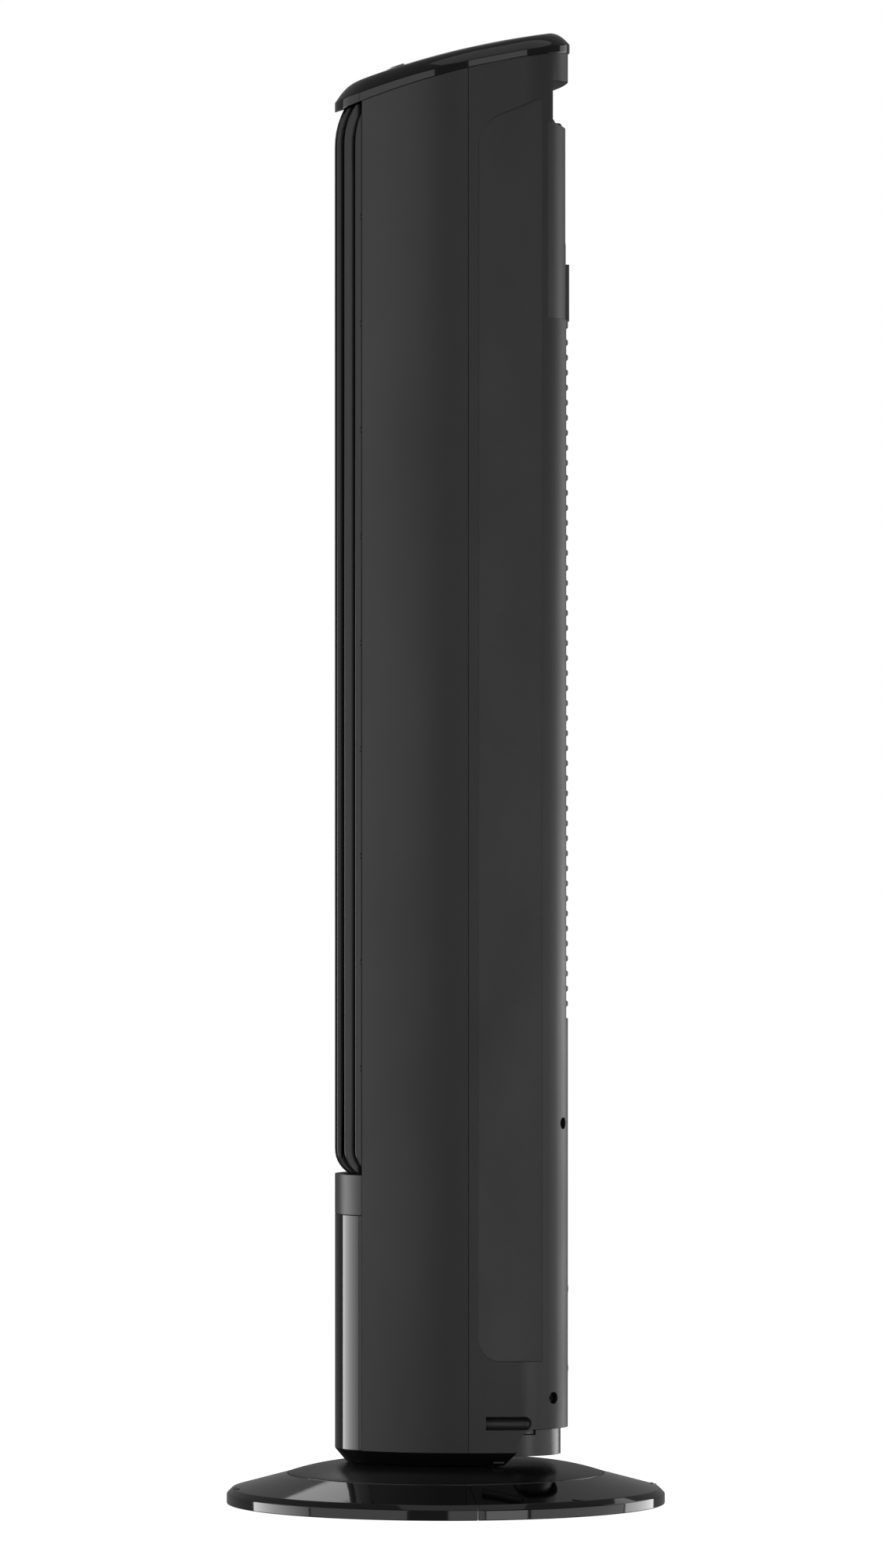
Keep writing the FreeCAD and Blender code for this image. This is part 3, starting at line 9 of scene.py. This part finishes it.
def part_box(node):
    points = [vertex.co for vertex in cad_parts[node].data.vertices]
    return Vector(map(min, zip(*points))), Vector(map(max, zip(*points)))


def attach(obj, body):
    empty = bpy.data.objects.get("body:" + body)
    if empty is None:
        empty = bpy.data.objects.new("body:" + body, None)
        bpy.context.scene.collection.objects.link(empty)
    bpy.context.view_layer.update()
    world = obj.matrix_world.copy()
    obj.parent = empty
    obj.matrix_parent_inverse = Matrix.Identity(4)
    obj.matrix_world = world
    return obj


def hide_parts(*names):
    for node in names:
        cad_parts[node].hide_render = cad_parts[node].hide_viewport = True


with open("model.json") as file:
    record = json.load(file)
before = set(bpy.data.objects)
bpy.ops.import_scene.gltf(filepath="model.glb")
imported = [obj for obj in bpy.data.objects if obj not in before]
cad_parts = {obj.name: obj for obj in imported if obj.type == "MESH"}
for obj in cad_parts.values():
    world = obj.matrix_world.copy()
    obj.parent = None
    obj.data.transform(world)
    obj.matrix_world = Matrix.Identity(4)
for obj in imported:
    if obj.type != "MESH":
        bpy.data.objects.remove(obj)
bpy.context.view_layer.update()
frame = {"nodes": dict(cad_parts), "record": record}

# Tower fan on a round base. Metres, in the frame's own axes: +Z up, the outlet faces -Y.

nodes = frame["nodes"]
body_of = {n: body for body, members in frame["record"]["behaviour"]["bodies"].items() for n in members}
slot_of = {part["node"]: part["material_slot"] for part in frame["record"]["subparts"]}

# ---- the tower's outline and roof --------------------------------------------------------------

body_front = -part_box("lower_front_panel")[0].y
body_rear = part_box("rear_housing")[1].y
nose_radius = 0.045
nose_half_angle = math.radians(48.0)
side_radius = 0.138
side_slope = math.radians(6.4)
side_flat_end = 0.044
rear_crown_radius = 0.434
grille_top = 1.0209
roof_radius = 0.595
roof_peak = (0.144, grille_top + 0.0457)
crest_radius = 0.612
crest_peak = (0.152, grille_top + 0.0643)
cap_overhang = 0.0006
cap_wall = 0.0028
control_y = -0.040
button_hole = 0.0058
lens_offset = 0.024
window_half_size = (0.02015, 0.00665)
window_round = 0.0036

nose_centre = (0.0, nose_radius - body_front)
nose_steps = 96
panel_half_angle = nose_half_angle - math.radians(0.2)
panel_thickness = 0.0026
panel_round = 0.0005
shelf_depth = 0.016

rim_height = 0.0070
rim_side_drop = 0.0021
rim_half_width = 0.072
cap_edge = 0.0004
cap_shoulder = 0.0155
cap_middle_y = 0.004
outer_insets = [0.0003, 0.0012, 0.0025, 0.004, 0.0055, 0.007, 0.0085, 0.010, 0.0115, 0.013, 0.0142, 0.0155]
inner_insets = [0.0012, 0.004, 0.007, 0.010, 0.013, 0.0155]
crest_shares = [0.94, 0.86, 0.76, 0.64, 0.5, 0.36, 0.22, 0.1]


def polar(radius, angle, centre=(0.0, 0.0)):
    return centre[0] + radius * math.cos(angle), centre[1] + radius * math.sin(angle)


def roof_z(y):
    return roof_peak[1] - roof_radius + math.sqrt(roof_radius ** 2 - (y - roof_peak[0]) ** 2)


def crest_z(x, y):
    return crest_peak[1] - crest_radius + math.sqrt(crest_radius ** 2 - x ** 2 - (y - crest_peak[0]) ** 2)


def tower_outline(inset, step=0.0012):
    """Closed loop of plan points round the tower, moved inward by inset, from the front to the right."""
    turn_nose = nose_half_angle - math.pi / 2
    side_centre = polar(-side_radius, turn_nose, polar(nose_radius, turn_nose, nose_centre))
    side_end = polar(side_radius, -side_slope, side_centre)
    flat_end = (side_end[0] + (side_flat_end - side_end[1]) * math.tan(side_slope), side_flat_end)
    crown_centre = (0.0, body_rear - rear_crown_radius)
    dx = flat_end[0]
    dy = flat_end[1] - crown_centre[1]
    reach = dx * math.cos(side_slope) - dy * math.sin(side_slope)
    corner_radius = (rear_crown_radius ** 2 - dx * dx - dy * dy) / (2 * (rear_crown_radius - reach))
    corner_centre = polar(-corner_radius, -side_slope, flat_end)
    turn_rear = math.atan2(corner_centre[1] - crown_centre[1], corner_centre[0])
    arcs = [
        (nose_radius, nose_centre, -math.pi / 2, turn_nose),
        (side_radius, side_centre, turn_nose, -side_slope),
        (corner_radius, corner_centre, -side_slope, turn_rear),
        (rear_crown_radius, crown_centre, turn_rear, math.pi / 2),
    ]
    right = []
    for radius, centre, start, end in arcs:
        count = max(4, round(radius * (end - start) / step))
        for i in range(count + 1):
            right.append(polar(radius - inset, start + (end - start) * i / count, centre))
    half = [right[0]]
    for p in right[1:]:
        if math.dist(p, half[-1]) > 1e-5:
            half.append(p)
    return half + [(-x, y) for x, y in half[-2:0:-1]]


# ---- procedural materials ----------------------------------------------------------------------

class Graph:
    """A material's node tree, with the few node patterns that the materials share."""

    def __init__(self, name):
        self.material = bpy.data.materials.new(name)
        self.material.use_nodes = True
        self.tree = self.material.node_tree
        self.shader = self.tree.nodes["Principled BSDF"]
        self.place = self.node("ShaderNodeTexCoord").outputs["Object"]

    def node(self, kind, **settings):
        made = self.tree.nodes.new(kind)
        for name, value in settings.items():
            setattr(made, name, value)
        return made

    def link(self, source, target):
        self.tree.links.new(source, target)

    def noise(self, size, detail=3.0, stretch=(1, 1, 1)):
        """Smooth noise whose lumps are about size metres across."""
        mapping = self.node("ShaderNodeMapping")
        mapping.inputs["Scale"].default_value = [s / size for s in stretch]
        self.link(self.place, mapping.inputs["Vector"])
        made = self.node("ShaderNodeTexNoise")
        made.inputs["Scale"].default_value = 1.0
        made.inputs["Detail"].default_value = detail
        self.link(mapping.outputs["Vector"], made.inputs["Vector"])
        return made.outputs["Fac"]

    def cells(self, size):
        """Rounded cells about size metres across, as on a textured moulding."""
        made = self.node("ShaderNodeTexVoronoi", feature="SMOOTH_F1")
        made.inputs["Scale"].default_value = 1.0 / size
        self.link(self.place, made.inputs["Vector"])
        return made.outputs["Distance"]

    def ramp(self, source, low, high, start=0.3, end=0.7):
        made = self.node("ShaderNodeMapRange")
        made.inputs["From Min"].default_value = start
        made.inputs["From Max"].default_value = end
        made.inputs["To Min"].default_value = low
        made.inputs["To Max"].default_value = high
        self.link(source, made.inputs["Value"])
        return made.outputs["Result"]

    def tint(self, source, dark, light):
        made = self.node("ShaderNodeMix", data_type="RGBA")
        made.inputs[6].default_value = (*dark, 1)
        made.inputs[7].default_value = (*light, 1)
        self.link(source, made.inputs[0])
        return made.outputs[2]

    def bump(self, source, height, below=None):
        made = self.node("ShaderNodeBump")
        made.inputs["Distance"].default_value = height
        made.inputs["Strength"].default_value = 1.0
        self.link(source, made.inputs["Height"])
        if below is not None:
            self.link(below, made.inputs["Normal"])
        return made.outputs["Normal"]


def moulded(name, dark, light, roughness, grain=0.0, grain_depth=0.0, wave_depth=0.0, coat=0.0):
    """Moulded plastic: blotches in the pigment, uneven sheen, spark-eroded grain and slight sink."""
    g = Graph(name)
    blotch = g.noise(0.035, 4.0)
    g.link(g.tint(blotch, dark, light), g.shader.inputs["Base Color"])
    smudge = g.noise(0.06, 5.0, (1.0, 1.0, 0.45))
    g.link(g.ramp(smudge, roughness * 0.9, roughness * 1.12), g.shader.inputs["Roughness"])
    g.shader.inputs["Coat Weight"].default_value = coat
    g.shader.inputs["Coat Roughness"].default_value = 0.04
    surface = g.bump(g.noise(0.03, 1.0), wave_depth)
    if grain:
        surface = g.bump(g.cells(grain), grain_depth, surface)
    g.link(surface, g.shader.inputs["Normal"])
    return g.material


def metal(name, dark, light, roughness, streak=(1, 1, 1)):
    """Metal with drawn or rolled streaks."""
    g = Graph(name)
    streaks = g.noise(0.0012, 4.0, streak)
    g.link(g.tint(streaks, dark, light), g.shader.inputs["Base Color"])
    g.link(g.ramp(streaks, roughness * 0.8, roughness * 1.25), g.shader.inputs["Roughness"])
    g.shader.inputs["Metallic"].default_value = 1.0
    g.link(g.bump(streaks, 0.00001), g.shader.inputs["Normal"])
    return g.material


def rubber(name):
    g = Graph(name)
    g.link(g.tint(g.noise(0.01), (0.012, 0.012, 0.012), (0.03, 0.03, 0.029)), g.shader.inputs["Base Color"])
    g.link(g.ramp(g.noise(0.004), 0.7, 0.9), g.shader.inputs["Roughness"])
    g.link(g.bump(g.noise(0.0007), 0.00006), g.shader.inputs["Normal"])
    return g.material


def circuit_board(name):
    """Green solder mask with the lighter tracks under it."""
    g = Graph(name)
    tracks = g.node("ShaderNodeTexBrick")
    tracks.inputs["Scale"].default_value = 260.0
    tracks.inputs["Mortar Size"].default_value = 0.03
    g.link(g.place, tracks.inputs["Vector"])
    mask = g.tint(tracks.outputs["Fac"], (0.01, 0.10, 0.035), (0.03, 0.2, 0.07))
    g.link(mask, g.shader.inputs["Base Color"])
    g.link(g.ramp(g.noise(0.01), 0.25, 0.4), g.shader.inputs["Roughness"])
    return g.material


def finishes():
    """One material for each slot of the record."""
    return {
        "gloss_black": moulded("gloss_black", (0.0016, 0.0016, 0.0018), (0.0026, 0.0026, 0.0028), 0.06,
                               wave_depth=0.00002),
        "satin_black": moulded("satin_black", (0.009, 0.009, 0.0098), (0.013, 0.013, 0.0138), 0.44,
                               grain=0.0006, grain_depth=0.00003, wave_depth=0.00003),
        "matte_black": moulded("matte_black", (0.003, 0.003, 0.0033), (0.0045, 0.0045, 0.005), 0.27,
                               grain=0.0009, grain_depth=0.00005, wave_depth=0.00003),
        "badge_grey": moulded("badge_grey", (0.018, 0.018, 0.019), (0.024, 0.024, 0.025), 0.36,
                              grain=0.0004, grain_depth=0.000015, wave_depth=0.00002),
        "natural_plastic": moulded("natural_plastic", (0.62, 0.60, 0.52), (0.74, 0.72, 0.65), 0.45,
                                   grain=0.0008, grain_depth=0.00002),
        "key_grey": moulded("key_grey", (0.28, 0.28, 0.29), (0.34, 0.34, 0.35), 0.4,
                            grain=0.0005, grain_depth=0.00002),
        "component_blue": moulded("component_blue", (0.02, 0.06, 0.22), (0.03, 0.09, 0.3), 0.25),
        "smoked_lens": moulded("smoked_lens", (0.002, 0.002, 0.003), (0.004, 0.004, 0.006), 0.04, coat=0.5),
        "black_steel": metal("black_steel", (0.012, 0.012, 0.012), (0.035, 0.035, 0.034), 0.35),
        "steel": metal("steel", (0.50, 0.50, 0.51), (0.68, 0.68, 0.69), 0.3, (1, 1, 0.1)),
        "core_steel": metal("core_steel", (0.16, 0.16, 0.17), (0.34, 0.34, 0.36), 0.4, (0.05, 0.05, 1.6)),
        "winding": metal("winding", (0.36, 0.12, 0.04), (0.62, 0.26, 0.10), 0.3, (0.4, 0.4, 1.4)),
        "bronze": metal("bronze", (0.36, 0.23, 0.10), (0.52, 0.36, 0.18), 0.42),
        "rubber_black": rubber("rubber_black"),
        "board_green": circuit_board("board_green"),
    }


def dress(obj, finish):
    obj.data.materials.clear()
    obj.data.materials.append(finish)


# ---- stage -------------------------------------------------------------------------------------

def make_camera():
    """Level camera beside the tower, a little to the front of its right-hand side."""
    azimuth = math.radians(81.7)
    distance = 6.344
    height = 0.5288
    sideways = 0.0035
    camera = bpy.data.objects.new("camera", bpy.data.cameras.new("camera"))
    back = Vector((math.sin(azimuth), -math.cos(azimuth), 0))
    right = Vector((math.cos(azimuth), math.sin(azimuth), 0))
    camera.location = back * distance - right * sideways + Vector((0, 0, height))
    camera.rotation_euler = (math.pi / 2, 0, azimuth)
    camera.data.lens = 198.0
    camera.data.sensor_width = 36.0
    camera.data.clip_start = 0.1
    camera.data.clip_end = 100.0
    bpy.context.scene.collection.objects.link(camera)
    bpy.context.scene.camera = camera


def softbox(name, from_deg, to_deg, radiance, fade=1.0, low=-0.6, high=2.4, distance=3.0):
    """Upright panel of light that fills a range of compass angles, counted from +X towards +Y.
    Its light falls to fade times its strength at the end of that range."""
    middle = math.radians((from_deg + to_deg) / 2)
    width = 2 * distance * math.tan(math.radians((to_deg - from_deg) / 2))
    light = bpy.data.lights.new(name, "AREA")
    light.shape = "RECTANGLE"
    light.size = width
    light.size_y = high - low
    light.energy = radiance * math.pi * width * (high - low)
    lamp = bpy.data.objects.new(name, light)
    lamp.location = (distance * math.cos(middle), distance * math.sin(middle), (low + high) / 2)
    lamp.rotation_euler = (math.pi / 2, 0, middle + math.pi / 2)
    lamp.visible_camera = False
    bpy.context.scene.collection.objects.link(lamp)
    if fade == 1.0:
        return
    light.use_nodes = True
    tree = light.node_tree
    across = tree.nodes.new("ShaderNodeNewGeometry")
    split = tree.nodes.new("ShaderNodeSeparateXYZ")
    strength = tree.nodes.new("ShaderNodeMapRange")
    strength.inputs["To Min"].default_value = 1.0
    strength.inputs["To Max"].default_value = fade
    tree.links.new(across.outputs["Parametric"], split.inputs["Vector"])
    tree.links.new(split.outputs["X"], strength.inputs["Value"])
    tree.links.new(strength.outputs["Result"], tree.nodes["Emission"].inputs["Strength"])


def make_lights():
    softbox("front_softbox", -127, -83, 6.5, fade=0.25, high=0.75)
    softbox("front_upper", -127, -83, 0.9, low=0.75)
    softbox("front_fill", -82, -28, 1.05)
    softbox("side_fill", -7, 11, 1.1)
    softbox("side_strip", 12, 34, 2.2, high=0.7)
    softbox("rear_fill", 36, 97, 1.3, high=0.7)
    softbox("rear_softbox", 98, 130, 4.2, high=0.7)
    softbox("rear_upper", 98, 130, 1.0, low=0.7)
    softbox("back_strip", 174, 182, 0.9, low=1.37, high=1.9)
    top = bpy.data.lights.new("top_softbox", "AREA")
    top.size = 2.4
    top.energy = 7
    lamp = bpy.data.objects.new("top_softbox", top)
    lamp.location = (0.2, 0.3, 3.6)
    lamp.visible_camera = False
    bpy.context.scene.collection.objects.link(lamp)


def make_world():
    """White to the camera, dim to everything else, as a studio with the lights off."""
    world = bpy.data.worlds.new("studio")
    world.use_nodes = True
    tree = world.node_tree
    dim = tree.nodes["Background"]
    dim.inputs["Color"].default_value = (0.19, 0.19, 0.193, 1)
    white = tree.nodes.new("ShaderNodeBackground")
    white.inputs["Color"].default_value = (1, 1, 1, 1)
    path = tree.nodes.new("ShaderNodeLightPath")
    mix = tree.nodes.new("ShaderNodeMixShader")
    tree.links.new(path.outputs["Is Camera Ray"], mix.inputs["Fac"])
    tree.links.new(dim.outputs["Background"], mix.inputs[1])
    tree.links.new(white.outputs["Background"], mix.inputs[2])
    tree.links.new(mix.outputs["Shader"], tree.nodes["World Output"].inputs["Surface"])
    bpy.context.scene.world = world


def make_floor():
    """Wide pale floor that glows a little, so that it stays white as far as the horizon."""
    form = bmesh.new()
    half = 30.0
    plan = [(-half, -half), (half, -half), (half, half), (-half, half)]
    form.faces.new([form.verts.new((x, y, 0)) for x, y in plan])
    floor = added("floor", form)
    g = Graph("pale_floor")
    g.link(g.tint(g.noise(0.8), (0.84, 0.84, 0.84), (0.87, 0.87, 0.87)), g.shader.inputs["Base Color"])
    g.shader.inputs["Roughness"].default_value = 0.7
    g.shader.inputs["Emission Color"].default_value = (1, 1, 1, 1)
    g.shader.inputs["Emission Strength"].default_value = 0.9
    floor.data.materials.append(g.material)
    floor.visible_glossy = False
    floor.visible_diffuse = False


# ---- mesh helpers ------------------------------------------------------------------------------

def added(name, form):
    """Turn a bmesh into an object of the scene."""
    mesh = bpy.data.meshes.new(name)
    form.to_mesh(mesh)
    form.free()
    made = bpy.data.objects.new(name, mesh)
    bpy.context.scene.collection.objects.link(made)
    return made


def eased(node, width, segments=2, sharp_deg=28.0):
    """Moulded version of a CAD node: the same form with its sharp edges rounded off."""
    form = bmesh.new()
    form.from_mesh(nodes[node].data)
    bmesh.ops.remove_doubles(form, verts=form.verts, dist=2e-6)
    bmesh.ops.dissolve_limit(form, angle_limit=math.radians(0.4), verts=form.verts, edges=form.edges)
    sharp = [e for e in form.edges if e.is_manifold and e.calc_face_angle() > math.radians(sharp_deg)]
    bmesh.ops.bevel(form, geom=sharp, offset=width, offset_type="OFFSET", segments=segments, profile=0.5,
                    affect="EDGES", clamp_overlap=False)
    for face in form.faces:
        face.smooth = True
    return added(node + "_moulded", form)


def applied(made):
    """Settle an object's modifiers into its mesh."""
    shape = made.evaluated_get(bpy.context.evaluated_depsgraph_get())
    mesh = bpy.data.meshes.new_from_object(shape)
    made.modifiers.clear()
    made.data = mesh


def stand_in(made, node, sharp_deg=40.0):
    """Smooth a finished piece and let it stand for its CAD node."""
    for face in made.data.polygons:
        face.use_smooth = True
    made.data.set_sharp_from_angle(angle=math.radians(sharp_deg))
    made.modifiers.new("even_normals", "WEIGHTED_NORMAL").keep_sharp = True
    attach(made, body_of[node])
    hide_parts(node)
    return made


def loops_joined(form, loops):
    """Quads between closed loops of points, each loop to the next."""
    rows = [[form.verts.new(p) for p in loop] for loop in loops]
    for lower, upper in zip(rows, rows[1:]):
        for i in range(len(lower)):
            j = (i + 1) % len(lower)
            form.faces.new((lower[i], lower[j], upper[j], upper[i]))
    return rows


def rounded_corner(points, radius, steps=3):
    """A closed polygon of pairs with each corner turned into a small arc."""
    out = []
    for i, corner in enumerate(points):
        before = Vector(points[i - 1]) - Vector(corner)
        after = Vector(points[(i + 1) % len(points)]) - Vector(corner)
        start = Vector(corner) + before.normalized() * radius
        end = Vector(corner) + after.normalized() * radius
        for k in range(steps + 1):
            t = k / steps
            middle = start.lerp(Vector(corner), t).lerp(Vector(corner).lerp(end, t), t)
            out.append(tuple(middle))
    return out


def nose_sweep(name, section):
    """A closed section of (inset, height) pairs carried round the tower's nose, its ends rounded over."""
    form = bmesh.new()
    angles = [panel_half_angle * (2 * i / nose_steps - 1) for i in range(nose_steps + 1)]
    angles[0] += panel_round / nose_radius
    angles[-1] -= panel_round / nose_radius
    stations = [(-panel_half_angle, 1.0), (-panel_half_angle, 0.35)]
    stations += [(angle, 0.0) for angle in angles]
    stations += [(panel_half_angle, 0.35), (panel_half_angle, 1.0)]
    middle_inset = sum(p[0] for p in section) / len(section)
    middle_z = sum(p[1] for p in section) / len(section)
    loops = []
    for angle, pinch in stations:
        loop = []
        for inset, z in section:
            inward = math.copysign(panel_round * pinch, middle_inset - inset)
            upward = math.copysign(panel_round * pinch, middle_z - z)
            x, y = polar(nose_radius - inset - inward, angle - math.pi / 2, nose_centre)
            loop.append((x, y, z + upward))
        loops.append(loop)
    rows = loops_joined(form, loops)
    form.faces.new(rows[0][::-1])
    form.faces.new(rows[-1])
    bmesh.ops.recalc_face_normals(form, faces=form.faces)
    return added(name, form)


# ---- pieces built here -------------------------------------------------------------------------

def lower_panel():
    """Gloss panel round the nose, under the badge band."""
    low, high = (corner.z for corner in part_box("lower_front_panel"))
    thick = panel_thickness
    corners = [(0, low), (0, high), (thick, high), (thick, low)]
    return nose_sweep("lower_panel", rounded_corner(corners, panel_round))


def badge_band():
    """Satin band between the panel and the grille, with a shelf that the fins stand on."""
    low, high = (corner.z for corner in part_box("badge_band"))
    thick = panel_thickness
    corners = [(0, low), (0, high), (shelf_depth, high), (shelf_depth, high - thick), (thick, high - thick),
               (thick, low)]
    return nose_sweep("badge_band_moulded", rounded_corner(corners, panel_round))


def cap_rim(x):
    """Height of the cap's upright rim, lower at the sides."""
    return rim_height - rim_side_drop * (x / rim_half_width) ** 2


def dome_height(x, y, inset):
    """Height of the dome's outer skin over a plan point that lies inset from the rim."""
    top = crest_z(x, y)
    rise = top - roof_z(y) - cap_rim(x)
    outward = max(0.0, 1.0 - inset / cap_shoulder)
    return top - rise * outward ** 2


def skin_loop(inset, lowered=0.0):
    """Loop on the dome, or on its underside where lowered is the wall."""
    loop = []
    for x, y in tower_outline(inset - cap_overhang):
        y += cap_overhang
        loop.append((x, y, dome_height(x, y, max(0.0, inset - lowered)) - lowered))
    return loop


def edge_loop(inset, height):
    """Loop at a height above the roof's edge."""
    plan = [(x, y + cap_overhang) for x, y in tower_outline(inset - cap_overhang)]
    return [(x, y, roof_z(y) + height) for x, y in plan]


def crest_loops(loop, lowered=0.0):
    """Loops that close in on the middle of the crest."""
    loops = []
    for share in crest_shares:
        plan = [(x * share, cap_middle_y + (y - cap_middle_y) * share) for x, y, _ in loop]
        loops.append([(x, y, crest_z(x, y) - lowered) for x, y in plan])
    return loops


def domed_cap():
    """Gloss cap: a low upright rim, a pillowed shoulder and a crowned middle, hollow underneath."""
    form = bmesh.new()
    outer = [
        edge_loop(cap_wall, cap_edge),
        edge_loop(cap_wall - cap_edge, 0.0),
        edge_loop(cap_edge, 0.0),
        edge_loop(cap_edge * 0.3, cap_edge * 0.3),
        edge_loop(0.0, cap_edge),
        [(x, y, z - cap_edge) for x, y, z in skin_loop(0.0)],
    ]
    outer += [skin_loop(inset) for inset in outer_insets]
    outer += crest_loops(outer[-1])
    inner = [edge_loop(cap_wall, 3 * cap_edge)]
    inner += [skin_loop(cap_wall + inset, cap_wall) for inset in inner_insets]
    inner += crest_loops(inner[-1], cap_wall)
    outer_rows = loops_joined(form, outer)
    inner_rows = loops_joined(form, inner)
    for row, lowered in ((outer_rows[-1], 0.0), (inner_rows[-1], cap_wall)):
        middle = form.verts.new((0.0, cap_middle_y, crest_z(0.0, cap_middle_y) - lowered))
        for i in range(len(row)):
            form.faces.new((row[i], row[(i + 1) % len(row)], middle))
    low_row = outer_rows[0]
    high_row = inner_rows[0]
    for i in range(len(low_row)):
        j = (i + 1) % len(low_row)
        form.faces.new((low_row[i], low_row[j], high_row[j], high_row[i]))
    bmesh.ops.recalc_face_normals(form, faces=form.faces)
    cap = added("domed_cap", form)
    cut_controls(cap)
    return cap


def cut_controls(cap):
    """Cut the four button holes and the display window through the cap."""
    tilt = math.asin((crest_peak[0] - control_y) / crest_radius)
    slope = Matrix.Translation((0, control_y, crest_z(0, control_y))) @ Matrix.Rotation(tilt, 4, "X")
    form = bmesh.new()
    for name in ("power", "speed", "timer", "swing"):
        button_low, button_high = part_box(name + "_button")
        place = slope @ Matrix.Translation(((button_low.x + button_high.x) / 2, 0, 0))
        bmesh.ops.create_cone(form, cap_ends=True, segments=64, radius1=button_hole, radius2=button_hole,
                              depth=0.02, matrix=place)
    half_x, half_y = window_half_size
    corners = [(-half_x, -half_y), (half_x, -half_y), (half_x, half_y), (-half_x, half_y)]
    outline = rounded_corner(corners, window_round, 8)
    rows = loops_joined(form, [[slope @ Vector((x, y + lens_offset, height)) for x, y in outline]
                               for height in (-0.008, 0.006)])
    form.faces.new(rows[0][::-1])
    form.faces.new(rows[1])
    bmesh.ops.recalc_face_normals(form, faces=form.faces)
    cutter = added("cap_cutter", form)
    cut = cap.modifiers.new("openings", "BOOLEAN")
    cut.object = cutter
    cut.operation = "DIFFERENCE"
    cut.solver = "EXACT"
    applied(cap)
    bpy.data.objects.remove(cutter)


# ---- the scene ---------------------------------------------------------------------------------

bpy.context.scene.view_settings.view_transform = "Standard"
make_camera()
make_world()
make_lights()
make_floor()

finish_of = finishes()
own_finish = {
    "front_grille": moulded("fin_black", (0.006, 0.006, 0.0065), (0.009, 0.009, 0.0095), 0.2,
                            wave_depth=0.00002),
}
edge_widths = {
    "base_front_half": 0.0006,
    "base_rear_half": 0.0006,
    "base_top_disc": 0.0005,
    "bottom_pan": 0.0004,
    "front_housing": 0.00018,
    "rear_housing": 0.00018,
    "front_grille": 0.0009,
    "handle_pocket": 0.0005,
    "remote_holder": 0.0004,
    "cord_inlet_bush": 0.0004,
    "remote_face_shell": 0.0006,
    "remote_back_shell": 0.0004,
}
built = {
    "top_cap": domed_cap,
    "lower_front_panel": lower_panel,
    "badge_band": badge_band,
}
for node, slot_name in slot_of.items():
    piece = nodes[node]
    if node in edge_widths:
        piece = stand_in(eased(node, edge_widths[node]), node)
    if node in built:
        piece = stand_in(built[node](), node, 22.0)
    dress(piece, own_finish.get(node, finish_of[slot_name]))
